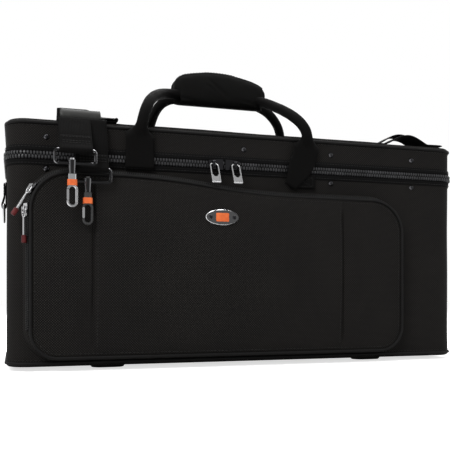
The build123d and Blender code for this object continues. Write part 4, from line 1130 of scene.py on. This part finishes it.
tab_low, tab_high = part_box("end_tabs")
tab_y = (tab_low.y + tab_high.y) / 2
tab_loops, tab_rows = [], []
for way in (-1, 1):
    inner_x = way * (half_x + 1.1 * mm)
    bar_x = way * (half_x + 3.6 * mm)
    loop_z = 196 * mm
    reach = 2.45 * mm
    line = [Vector((inner_x, tab_y, tab_high.z - 0.6 * mm)), Vector((inner_x, tab_y, loop_z + 14 * mm)),
            Vector((inner_x, tab_y, loop_z + 6 * mm))]
    line += [Vector((bar_x - way * reach * cos(a), tab_y, loop_z - reach * sin(a)))
             for a in [pi * k / 10 for k in range(11)]]
    line += [Vector((inner_x + way * 3.6 * mm, tab_y, loop_z + 5 * mm)),
             Vector((inner_x + way * 2.2 * mm, tab_y, loop_z + 10 * mm)),
             Vector((inner_x + way * 1.8 * mm, tab_y, loop_z + 16 * mm)),
             Vector((inner_x + way * 1.8 * mm, tab_y, tab_high.z - 1.4 * mm))]
    tab_loops.append(ribbon(f"tab_{way}", line, (0, 1, 0), 25 * mm, 1.6 * mm, ripple=0.1 * mm, end_round=0.04))
    tab_rows += box_stitch((-9.5 * mm, 0), (9.5 * mm, 12 * mm),
                           Vector((inner_x + way * 2.6 * mm, tab_y, tab_high.z - 14.5 * mm)),
                           Vector((way, 0, 0)), Vector((0, 1, 0)), up_z)
dress(join("end_tab_cloth", tab_loops), strap_web, "base", "webbing", "end_tabs")
stitches("end_tab_stitches", [tab_rows], thread, "base")


# Handles: flat webbing at both ends that curls round a soft core and rises to the grip

arm_x = (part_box("front_anchors")[0].x + arm_half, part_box("front_anchors")[1].x - arm_half)
grip_low, grip_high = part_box("grip_front")[0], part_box("grip_front")[1]


def carried(line, side):
    """Frames along a line that starts and ends upright: sideways is carried along, and turned evenly to end true."""
    across = Vector(side)
    frames = []
    for i, p in enumerate(line):
        ahead = (line[min(i + 1, len(line) - 1)] - line[max(i - 1, 0)]).normalized()
        across = (across - ahead * ahead.dot(across)).normalized()
        frames.append([p, ahead, across])
    _, ahead, across = frames[-1]
    wished = Vector(side) * -1
    miss = atan2(across.cross(wished).dot(ahead), across.dot(wished))
    for i, frame_at in enumerate(frames):
        p, ahead, across = frame_at
        turn = Matrix.Rotation(miss * i / (len(frames) - 1), 3, ahead)
        frame_at[2] = turn @ across
        frame_at.append(frame_at[2].cross(ahead))
    return frames


tube_radius = 6.4 * mm       # of the webbing where it is rolled round its core


def curled(name, line, side, curl, spread):
    """Webbing of a given spread at each point, rolled into part of a tube by curl (0 flat, 1 closed)."""
    steps, wall = 22, 1.7 * mm
    rings = []
    for i, (p, _, across, out) in enumerate(carried(line, side)):
        share = curl[i]
        full = spread[i] + (2 * pi * tube_radius - spread[i]) * share
        angle = max(share * 2 * pi * 0.985, 0.02)
        radius = full / angle
        front = tube_radius * share + wall / 2 * (1 - share)
        ring = []
        for layer, depth in ((1, 0.0), (-1, wall)):
            for k in range(steps + 1):
                u = (k / steps * 2 - 1) * layer
                theta = u * angle / 2
                r = radius - depth
                edge = wall * 0.32 * max(abs(u) - 0.94, 0) / 0.06 * (1 - share)
                wave = 0.16 * mm * wrinkle(p + across * u * full / 2, 15 * mm, 4.4) + \
                    0.22 * mm * share * wrinkle(p + Vector((u * 4 * mm, 0, 0)), 6.5 * mm, 2.7)
                ring.append(p + across * (r * sin(theta)) + out * (front - radius + r * cos(theta) + wave
                                                                    + (-edge if layer > 0 else edge)))
        rings.append(ring)
    outer_lay = [(k / steps * 2 - 1) * 19 * mm for k in range(steps + 1)]
    inner_lay = [(1 - k / steps * 2) * 19 * mm for k in range(steps + 1)]
    return outward_faces(rings_to_mesh(name, rings, profile_lay=outer_lay + inner_lay))


def handle_line(way):
    """Route of one handle from its left foot over and through the grip to its right foot."""
    left, right = arm_x
    if way < 0:
        rise = [(0, 98.1, 252), (0, 98.6, 264), (0.5, 101.2, 277), (3, 102, 291), (8, 97, 306), (16, 80, 320),
                (28, 54, 333), (42, 26, 344), (58, 10.6, 349), (76, 10.2, 349)]
        fall = [(-46, 10.2, 349), (-34, 10.8, 349), (-26, 22, 345), (-20, 48, 333), (-13.5, 76, 319), (-5, 96, 304),
                (2, 102, 291), (4.5, 101.2, 279), (4, 98.8, 267), (-1.1, 98.1, 252)]
    else:
        rise = [(0, 98.1, 252), (4, 98.8, 264), (16, 101.8, 277), (30, 102, 290), (40, 97, 305), (45, 82, 321),
                (45.5, 60, 336), (50, 33, 347), (62, 12, 350), (82, 10.2, 349)]
        fall = [(-46, 10.2, 349), (-30, 11, 350), (-12, 24, 350), (8, 40, 346), (27, 58, 336), (39, 76, 321),
                (43, 94, 306), (36, 102, 290), (20, 102, 277), (6, 98.8, 264), (0, 98.1, 252)]
    spots = [(left + x * mm, y, z) for x, y, z in rise] + [(right + x * mm, y, z) for x, y, z in fall]
    return [Vector((x, middle_y + way * y * mm, z * mm)) for x, y, z in spots]


foot_reach = 98.1 * mm       # from the case's middle to the webbing that is sewn to its wall
foot_width = 33.6            # in mm, as are the three below
fold_shift, fold_lean, fold_narrow = 4, 21.5, 17.6      # the folded foot: its start, its drift, its loss of width


def handle_cloth(node, way):
    """One handle: flat feet, curled necks and the covered core, all in one length of webbing."""
    core = smooth_path(handle_line(way))
    left, right = arm_x
    foot_y = middle_y + way * foot_reach
    foot = [233.0, 236, 239, 242, 245, 248, 250.5]
    start = [Vector((left, foot_y, z * mm)) for z in foot]
    folded = way < 0
    if folded:
        # the front right end is drawn aside and lies folded over its anchor
        end = [Vector((right + (fold_shift - fold_lean * (262 - z) / 42) * mm,
                       foot_y + 1.1 * mm * (1 - blend_step(222, 236, z)), z * mm))
               for z in [220.5, 224, 228] + foot][::-1]
    else:
        end = [Vector((right, foot_y, z * mm)) for z in foot][::-1]
    line = start + core + end
    curl, spread = [], []
    for p in line:
        curl.append(blend_step(267 * mm, 287 * mm, p.z))
        narrow = fold_narrow * (1 - blend_step(218 * mm, 252 * mm, p.z)) if folded and p.x > 0 else 0
        spread.append((foot_width - narrow - 1.5 * bump_at(p.z, 258 * mm, 14 * mm)) * mm)
    return curled(f"{node}_cloth", line, (-way, 0, 0), curl, spread)


front_cloth = dress(handle_cloth("front_handle", -1), strap_web, None, "webbing", "front_handle")
rear_cloth = dress(handle_cloth("rear_handle", 1), strap_web, None, "webbing", "rear_handle")
for cloth, body, way in ((front_cloth, "front_handle", -1), (rear_cloth, "rear_handle", 1)):
    foot_y = middle_y + way * foot_reach
    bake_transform(cloth, "base", body, (0, foot_y, 229 * mm), (0, foot_y, 243 * mm))


# Grip: two padded halves of the wrap, swelled by a short cloth simulation

def swell(thing, voxel, pressure, cap, frames=20, keep=None):
    """Remeshes a shape and lets air pressure fill it; no point moves further than cap, or past keep."""
    apply_modifier(thing, "REMESH", mode="VOXEL", voxel_size=voxel)
    start = [v.co.copy() for v in thing.data.vertices]
    soft = thing.modifiers.new("cloth", "CLOTH")
    soft.settings.use_pressure = True
    soft.settings.uniform_pressure_force = pressure
    soft.settings.effector_weights.gravity = 0
    soft.settings.quality = 4
    soft.point_cache.frame_start, soft.point_cache.frame_end = 1, frames
    scene = bpy.context.scene
    for frame_number in range(1, frames + 1):
        scene.frame_set(frame_number)
    shape = thing.evaluated_get(bpy.context.evaluated_depsgraph_get()).to_mesh()
    ends = [v.co.copy() for v in shape.vertices]
    thing.modifiers.remove(soft)
    scene.frame_set(1)
    for v, a, b in zip(thing.data.vertices, start, ends):
        step = b - a
        if step.length > cap:
            step *= cap / step.length
        v.co = a + step
        if keep:
            keep(v.co)
    return thing


def smoothed(thing, rounds, share=0.5):
    """Evens a mesh out."""
    apply_modifier(thing, "SMOOTH", factor=share, iterations=rounds)
    return thing


def own_copy(node, name):
    """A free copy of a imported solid's mesh."""
    thing = bpy.data.objects.new(name, nodes[node].data.copy())
    bpy.context.scene.collection.objects.link(thing)
    for attribute in list(thing.data.attributes):
        if attribute.name.startswith("_"):
            thing.data.attributes.remove(attribute)
    return thing


def set_smooth(thing):
    """Shades every face smooth."""
    thing.data.polygons.foreach_set("use_smooth", [True] * len(thing.data.polygons))
    thing.data.update()


parting_y = (grip_high.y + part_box("grip_rear")[0].y) / 2
grip_middle_x = (grip_low.x + grip_high.x) / 2
grip_span = (grip_high.x - grip_low.x) / 2
core_z = 345 * mm            # height of the webbing through the grip
pad_shrink = 0.965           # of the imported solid, which the air then fills
crown_scale = 1.10           # how far the wrap stands over the core, and hangs under it in front and behind
belly_scale = {-1: 0.96, 1: 0.36}
right_scale = 1.125          # its length to the right of its middle
ridge_shift, ridge_reach = 8 * mm, 68 * mm
ridge_rise, ridge_fall = 0.03, 0.21
# folds pressed into the wrap: both ends as (x, z), width and depth in mm
creases = [((-0.034, 0.366), (-0.012, 0.349), 3.4, 1.5), ((-0.040, 0.361), (-0.022, 0.352), 3.0, 0.7),
           ((0.004, 0.346), (0.030, 0.341), 3.0, 0.8), ((-0.076, 0.345), (-0.058, 0.342), 3.2, 1.0),
           ((0.028, 0.366), (0.037, 0.352), 3.0, 0.7), ((-0.080, 0.362), (-0.073, 0.350), 3.0, 0.7)]


def crest_height(x):
    """Height of the wrap's top over a place along it."""
    share = min(abs(x - grip_middle_x) / grip_span, 1)
    return grip_high.z - 7.0 * mm * share ** 2.2 - 12 * mm * blend_step(0.86, 1.0, share)


def crease_depth(x, z):
    """Folds pressed into the cloth of the wrap."""
    total = 0.0
    for (ax, az), (bx, bz), width, depth in creases:
        a, b, p = Vector((ax, az)), Vector((bx, bz)), Vector((x, z))
        along = min(max((p - a).dot(b - a) / (b - a).length_squared, -0.1), 1.1)
        away = (p - a.lerp(b, along)).length
        side = (p - a).cross(b - a)
        fall = bump_at(away, 0, width * mm)
        lip = bump_at(away, width * 0.9 * mm, width * 0.8 * mm) * (1 if side > 0 else 0.35)
        total += depth * mm * (fall - 0.45 * lip) * bump_at(along, 0.5, 0.75)
    return total


def grip_half(node, way):
    """Half of the wrap: padded, crowned, drawn in at its seams and creased."""
    thing = own_copy(node, f"{node}_pad")
    for v in thing.data.vertices:
        middle = Vector((grip_middle_x, parting_y, (grip_low.z + grip_high.z) / 2))
        v.co = middle + (v.co - middle) * pad_shrink
    limit = parting_y + way * 0.12 * mm

    def keep(co):
        if (co.y - limit) * way < 0:
            co.y = limit

    for v in thing.data.vertices:
        keep(v.co)
    swell(thing, 3.2 * mm, 3.0, 5 * mm, keep=keep)
    smoothed(thing, 7)
    apply_modifier(thing, "SUBSURF", levels=1)
    outer = parting_y + way * 19 * mm
    for v in thing.data.vertices:
        co = v.co
        depth = (co.y - parting_y) * way
        if depth > 3 * mm:
            share = blend_step(3 * mm, 14 * mm, depth)
            high = (co.z - (crest_height(co.x) - 9 * mm)) / (6 * mm)
            seam = bump_at(depth, 13.5 * mm, 2.2 * mm) * blend_step(0, 1, high)
            co.y -= way * share * (crease_depth(co.x, co.z) - 0.35 * mm * wrinkle(co, 16 * mm, 5.0)
                                   - 0.14 * mm * wrinkle(co, 5 * mm, 3.0))
            co.z -= 0.9 * mm * seam
        # small bulges where the lower corners are gathered
        for bulge_x in (grip_low.x + 12 * mm, grip_high.x - 12 * mm):
            near = bump_at((co - Vector((bulge_x, outer, grip_low.z + 3 * mm))).length, 0, 17 * mm)
            co.z -= 1.8 * mm * near * blend_step(0, 8 * mm, depth)
        keep(co)
    for v in thing.data.vertices:
        co = v.co
        co.z = core_z + (co.z - core_z) * (crown_scale if co.z > core_z else belly_scale[way])
        if co.x > grip_middle_x:
            co.x = grip_middle_x + (co.x - grip_middle_x) * right_scale
        if co.z > core_z:
            off = min(abs(co.x - grip_middle_x + ridge_shift) / ridge_reach, 1.1)
            co.z += (co.z - core_z) * (ridge_rise - ridge_fall * off ** 2.4)
    set_smooth(thing)
    return thing


def on_pad(pad, xs, y, lift):
    """Points on a pad's top along a line at y, each moved by lift."""
    found = [pad.ray_cast(Vector((x, y, grip_high.z + 30 * mm)), Vector((0, 0, -1))) for x in xs]
    return [place + Vector(lift) for hit, place, _, _ in found if hit]


for node, way, body in (("grip_front", -1, "front_handle"), ("grip_rear", 1, "rear_handle")):
    pad = dress(grip_half(node, way), grip_cloth, body, "grip_pad", node)
    spots = [grip_low.x + 2.2 * mm + (2 * grip_span - 4.4 * mm) * k / 46 for k in range(47)]
    bpy.context.evaluated_depsgraph_get()      # brings the pad up to date for the rays
    line = on_pad(pad, spots, parting_y + way * 13.2 * mm, (0, way * 0.2 * mm, 0.1 * mm))
    line = [line[0]] + [(a + b + c) / 3 for a, b, c in zip(line, line[1:], line[2:])] + [line[-1]]
    dress(tube(f"{node}_piping", line, 1.15 * mm, side=(0, 1, 0), sides=10, uneven=0.12), piping_cloth, body,
          "piping_cord")
    sewn = on_pad(pad, spots[1:-1], parting_y + way * 10.2 * mm, (0, 0, -0.1 * mm))
    stitches(f"{node}_stitches", [spaced(sewn, 4.0 * mm, (0, 0, 1))], thread, body, thick=0.24 * mm)


# Shoulder strap: two runs on the lid, a hump at the right, and two ends that hang over the front edge

lid_face = top_z + 0.4 * mm
ply = 1.7 * mm
front_run_y = middle_y - 68 * mm
back_run_y = middle_y - 20 * mm
end_x = [(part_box("strap_end_1")[0].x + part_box("strap_end_1")[1].x) / 2,
         (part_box("strap_end_2")[0].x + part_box("strap_end_2")[1].x) / 2]
head_y = middle_y - 97 * mm
head_z = top_z + 3 * mm
loops = [(middle_y - 126 * mm, 244 * mm), (middle_y - 117.4 * mm, 226 * mm)]


def humped(x):
    """Height of the strap's hump over the lid along its front run."""
    start, end = half_x - 103 * mm, half_x - 31 * mm
    share = (x - start) / (end - start)
    return 13.2 * mm * sin(pi * min(max(share, 0), 1)) ** 1.6


def dense(points, pitch=3 * mm):
    """Points every pitch along straight runs."""
    line = []
    for a, b in zip(points, points[1:]):
        count = max(int((Vector(b) - Vector(a)).length / pitch), 1)
        line += [Vector(a).lerp(Vector(b), k / count) for k in range(count)]
    return line + [Vector(points[-1])]


strap_width = 36 * mm
fold_x = half_x - 27 * mm
runs = []
line = dense([(end_x[1] - 15 * mm, front_run_y, lid_face + ply * 1.6),
              (end_x[1] + 12 * mm, front_run_y, lid_face + ply * 1.0),
              (end_x[1] + 40 * mm, front_run_y, lid_face + ply * 0.6),
              (fold_x + 2 * mm, front_run_y, lid_face + ply * 0.6)])
line = [p + Vector((0, 1.6 * mm * wrinkle((p.x, 0, 0), 160 * mm, 2.0),
                    humped(p.x) + 0.35 * mm * (1 + wrinkle((p.x, 0, 0), 60 * mm, 5.0))))
        for p in line]
runs.append(ribbon("strap_front_run", line, (0, 1, 0), strap_width, 1.7 * mm, ripple=0.25 * mm))
line = dense([(end_x[0] - 14 * mm, back_run_y, lid_face + ply * 1.4),
              (end_x[0] + 26 * mm, back_run_y, lid_face + ply * 0.7),
              (fold_x + 2 * mm, back_run_y, lid_face + ply * 0.6)])
line = [p + Vector((0, 2.0 * mm * wrinkle((p.x, 0, 0), 150 * mm, 8.0),
                    0.35 * mm * (1 + wrinkle((p.x, 0, 0), 70 * mm, 6.0))))
        for p in line]
runs.append(ribbon("strap_back_run", line, (0, 1, 0), strap_width, 1.7 * mm, ripple=0.25 * mm))
# the turn at the right end, folded over twice at its corners
line = dense([(fold_x - 2 * mm, front_run_y - 17 * mm, lid_face + ply * 1.9),
              (fold_x - 2 * mm, back_run_y + 17 * mm, lid_face + ply * 1.9)])
line = [p + Vector((0, 0, 0.5 * mm * (1 + wrinkle(p, 40 * mm, 3.0)))) for p in line]
runs.append(ribbon("strap_turn", line, (1, 0, 0), strap_width - 4 * mm, 1.7 * mm, ripple=0.3 * mm, end_round=0.1))
# a second strand over the hump, lying a little askew
line = dense([(half_x - 110 * mm, front_run_y + 8 * mm, lid_face + ply * 2.0),
              (half_x - 29 * mm, front_run_y + 4 * mm, lid_face + ply * 2.0)])
line = [p + Vector((0, 0, humped(p.x + 5 * mm) * 1.08)) for p in line]
runs.append(ribbon("strap_hump", line, (0, 1, 0), strap_width - 10 * mm, 1.6 * mm, ripple=0.3 * mm, end_round=0.08))
dress(join("strap_cloth", runs), strap_web, "lid", "webbing", "shoulder_strap")

adjusters = [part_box("strap_adjuster_1"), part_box("strap_adjuster_2")]


def bar_along_x(name, outline, low_x, high_x, corner):
    """A moulded bar: an outline in its own plane, drawn along with rounded ends."""
    middle = sum((Vector(p) for p in outline), Vector((0, 0))) / len(outline)
    steps = [corner * (1 - cos(pi / 2 * k / 6)) for k in range(7)]
    stations = [low_x + s for s in steps] + [high_x - s for s in reversed(steps)]
    rings = []
    for x in stations:
        near = min(x - low_x, high_x - x, corner)
        share = 0.55 + 0.45 * sqrt(max(1 - (1 - near / corner) ** 2, 0))
        rings.append([Vector((x, *(middle + (Vector(p) - middle) * share))) for p in outline])
    return outward_faces(rings_to_mesh(name, rings))


def thick_line(spots, wall):
    """Closed outline round a line of points in a plane."""
    spots = [Vector(p) for p in spots]
    left, right = [], []
    for i, p in enumerate(spots):
        ahead = (spots[min(i + 1, len(spots) - 1)] - spots[max(i - 1, 0)]).normalized()
        side = Vector((-ahead.y, ahead.x)) * wall / 2
        left.append(p + side)
        right.append(p - side)
    first = spots[0] - (spots[1] - spots[0]).normalized() * wall * 0.35
    return left + [spots[-1] + ahead * wall * 0.35] + right[::-1] + [first]


def shares_of(low, high):
    """A function that turns shares of a box's depth and height into a place (y, z)."""
    depth, rise = high.y - low.y, high.z - low.z
    return lambda share_y, share_z: (low.y + depth * share_y, low.z + rise * share_z)


def slide_buckle(node):
    """A bowed three-bar slide: a broad front bar, two rails and two thinner bars that the webbing wraps."""
    low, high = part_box(node)
    at = shares_of(low, high)
    front = [at(0.06, 0.05), at(0.02, 0.26), at(0.06, 0.50), at(0.17, 0.73), at(0.33, 0.88)]
    rail = [at(0.24, 0.80), at(0.42, 0.91), at(0.62, 0.93), at(0.86, 0.88)]
    parts = [bar_along_x(f"{node}_front", thick_line(front, 2.6 * mm), low.x, high.x, 4.5 * mm)]
    for end_x_low, end_x_high in ((low.x, low.x + 5.2 * mm), (high.x - 5.2 * mm, high.x)):
        parts.append(bar_along_x(f"{node}_rail", thick_line(rail, 2.4 * mm), end_x_low, end_x_high, 1.6 * mm))
    for share_y, share_z, radius in ((0.56, 0.91, 1.25 * mm), (0.92, 0.86, 1.5 * mm)):
        y, z = at(share_y, share_z)
        outline = [(y + radius * cos(2 * pi * k / 12), z + radius * sin(2 * pi * k / 12)) for k in range(12)]
        parts.append(bar_along_x(f"{node}_bar", outline, low.x + 0.4 * mm, high.x - 0.4 * mm, 2 * mm))
    buckle = join(f"{node}_slide", parts)
    apply_modifier(buckle, "SUBSURF", levels=1)
    return dress(buckle, plastic, "lid", "black_plastic", node)


for adjuster_node in ("strap_adjuster_1", "strap_adjuster_2"):
    slide_buckle(adjuster_node)


def hanging_line(index):
    """Route of one strap end in its own plane: through its adjuster, over the edge, down, round the eye and up."""
    foot_y, foot_z = loops[index]
    low, high = adjusters[index]
    mid_y = (low.y + high.y) / 2
    reach = 2.95 * mm
    down = Vector((foot_y - head_y, foot_z - head_z)).normalized()
    out = Vector((down.y, -down.x))
    at = shares_of(low, high)
    spots = [(high.y + 20 * mm, lid_face + ply * (1.7 + index * 0.2)), (high.y + 8 * mm, lid_face + ply * 2.0),
             at(0.98, 0.45), at(0.78, 0.84), at(0.60, 1.10), at(0.44, 0.92), at(0.34, 0.50), at(0.20, 0.02)]
    if index == 1:
        spots.append((mid_y - 22 * mm, lid_face + ply * 0.8))
    spots += [(head_y + 6 * mm, top_z + 1.9 * mm), (head_y + 2.0 * mm, top_z + 2.4 * mm)]
    start = Vector((head_y, head_z)) + down * 5 * mm
    spots.append((head_y - 1.2 * mm, head_z - 1.2 * mm))
    foot = Vector((foot_y, foot_z))
    back = -out * reach
    for share in (0.12, 0.3, 0.5, 0.7, 0.86):
        sag = 0.9 * mm * sin(pi * share)
        p = start.lerp(foot, share) + back * blend_step(0.55, 1.0, share) + out * sag
        spots.append((p.x, p.y))
    smooth = smooth_path([Vector((end_x[index], y, z)) for y, z in spots] + [Vector((end_x[index], *(foot + back)))])
    turn = []
    for k in range(13):
        angle = pi * k / 12
        p = foot + back * cos(angle) + down * reach * sin(angle)
        turn.append(Vector((end_x[index], p.x, p.y)))
    up = []
    rise = 20 * mm if index == 0 else 17 * mm
    for k in range(1, 13):
        share = k / 12
        gap = reach + (2.1 * mm - reach) * blend_step(0.0, 0.5, share)
        base = foot - down * rise * share
        p = base + out * (gap - 0.35 * mm * sin(pi * share))
        up.append(Vector((end_x[index], p.x, p.y)))
    return smooth + turn[1:] + up, down, out


for index in range(2):
    line, down, out = hanging_line(index)
    name = f"strap_end_{index + 1}"
    cloth = ribbon(f"{name}_cloth", line, (1, 0, 0), strap_width, 1.6 * mm, ripple=0.22 * mm, seed=3.0 + index,
                   end_round=0.05)
    dress(cloth, strap_web, None, "webbing", name)
    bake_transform(cloth, "lid", name, (end_x[index], head_y + 5 * mm, head_z),
             (end_x[index], head_y - 4 * mm, head_z - 7 * mm))
    foot = Vector(loops[index])
    rows = []
    for rise in (8.5 * mm, 11.5 * mm, 17.6 * mm if index == 0 else 15.2 * mm):
        at = foot - down * rise + out * 2.75 * mm
        rows.append(spaced([Vector((end_x[index] + side * 14.5 * mm, at.x, at.y)) for side in (-1, 1)],
                           3.4 * mm, (0, out.x, out.y)))
    stitches(f"{name}_stitches", rows, thread, name, thick=0.26 * mm)

# the loose end of the webbing, turned up behind the first adjuster
low, high = adjusters[0]
tail = [Vector((high.x + x * mm, high.y + y * mm, lid_face + z)) for x, y, z in (
    (-22, 2, ply * 2.2), (-8, 1, ply * 3.2), (6, -1, 6.4 * mm), (16, -3, 6.0 * mm), (21, -4, 3.4 * mm),
    (15, -4, 2.1 * mm), (2, -3, 2.0 * mm))]
dress(ribbon("strap_tail", smooth_path(tail), (0, 1, 0), 24 * mm, 1.6 * mm, ripple=0.2 * mm), strap_web, "lid",
      "webbing")


# Lining: plush trays over the boards, and the fitted blocks

def tray(name, rim_z, floor_z, sign):
    """A padded tray whose lining rolls over its rim: outside against the board, inside soft and uneven."""
    outer = -6.9 * mm
    thick = 10.6 * mm
    roll = 4.6 * mm
    profile = [(outer, floor_z), (outer, rim_z - sign * roll)]
    profile += [(outer - thick / 2 + thick / 2 * cos(a), rim_z - sign * (roll - roll * sin(a)))
                for a in [pi * k / 10 for k in range(1, 10)]]
    inside = outer - thick
    for k in range(1, 15):
        profile.append((inside, rim_z - sign * (roll + (abs(rim_z - floor_z) - thick - roll - 6 * mm) * k / 14)))
    low_z = floor_z + sign * thick
    profile += [(inside - 6 * mm + 6 * mm * cos(a), low_z + sign * (6 * mm - 6 * mm * sin(a)))
                for a in (pi / 8, pi / 4, 3 * pi / 8, pi / 2)]
    profile += [(inside - 6 * mm - d, low_z) for d in (6 * mm, 14 * mm, 24 * mm, 36 * mm, 48 * mm, 60 * mm)]
    points = []
    count = len(round_case(0))
    for out_by, z in profile:
        for p, way in round_case(out_by):
            soft = 0.0
            if out_by <= inside + 0.1 * mm:
                soft = 0.55 * mm * wrinkle(p + Vector((0, 0, z)), 46 * mm, 2.0) - 0.4 * mm
            lift = 0.5 * mm * wrinkle(p, 60 * mm, 4.0) * (1 if out_by < inside - 5 * mm else 0)
            points.append(p + way * soft + Vector((0, 0, z + sign * (lift - (0.5 * mm if lift else 0)))))
    faces = ring_faces(len(profile), count, count)
    faces.append(tuple((len(profile) - 1) * count + j for j in range(count)))
    faces.append(tuple(range(count))[::-1])
    return outward_faces(piece(name, points, faces))


pad_low, pad_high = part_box("base_padding")
cap_low, cap_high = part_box("lid_padding")
for name, node, body, rim, ground, sign in (("base_tray", "base_padding", "base", pad_high.z, pad_low.z, 1),
                                             ("lid_tray", "lid_padding", "lid", cap_low.z, cap_high.z, -1)):
    dress(tray(name, rim, ground, sign), lining, body, "plush_lining", node)

for node, voxel in (("bell_block", 4 * mm), ("valve_block", 4 * mm), ("mouthpiece_block", 3.6 * mm)):
    low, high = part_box(node)
    middle = (low + high) / 2

    def inside_box(co):
        for axis in range(3):
            co[axis] = min(max(co[axis], low[axis] + 0.1 * mm), high[axis] - 0.1 * mm)

    block = own_copy(node, f"{node}_pad")
    for v in block.data.vertices:
        for axis in range(3):
            v.co[axis] = middle[axis] + (v.co[axis] - middle[axis]) * (1 - 1.6 * mm / (high[axis] - low[axis]) * 2)
    swell(block, voxel, 2.0, 2.5 * mm, keep=inside_box)
    smoothed(block, 4)
    for v in block.data.vertices:
        inside_box(v.co)
    set_smooth(block)
    dress(block, lining, "base", "lining_foam", node)
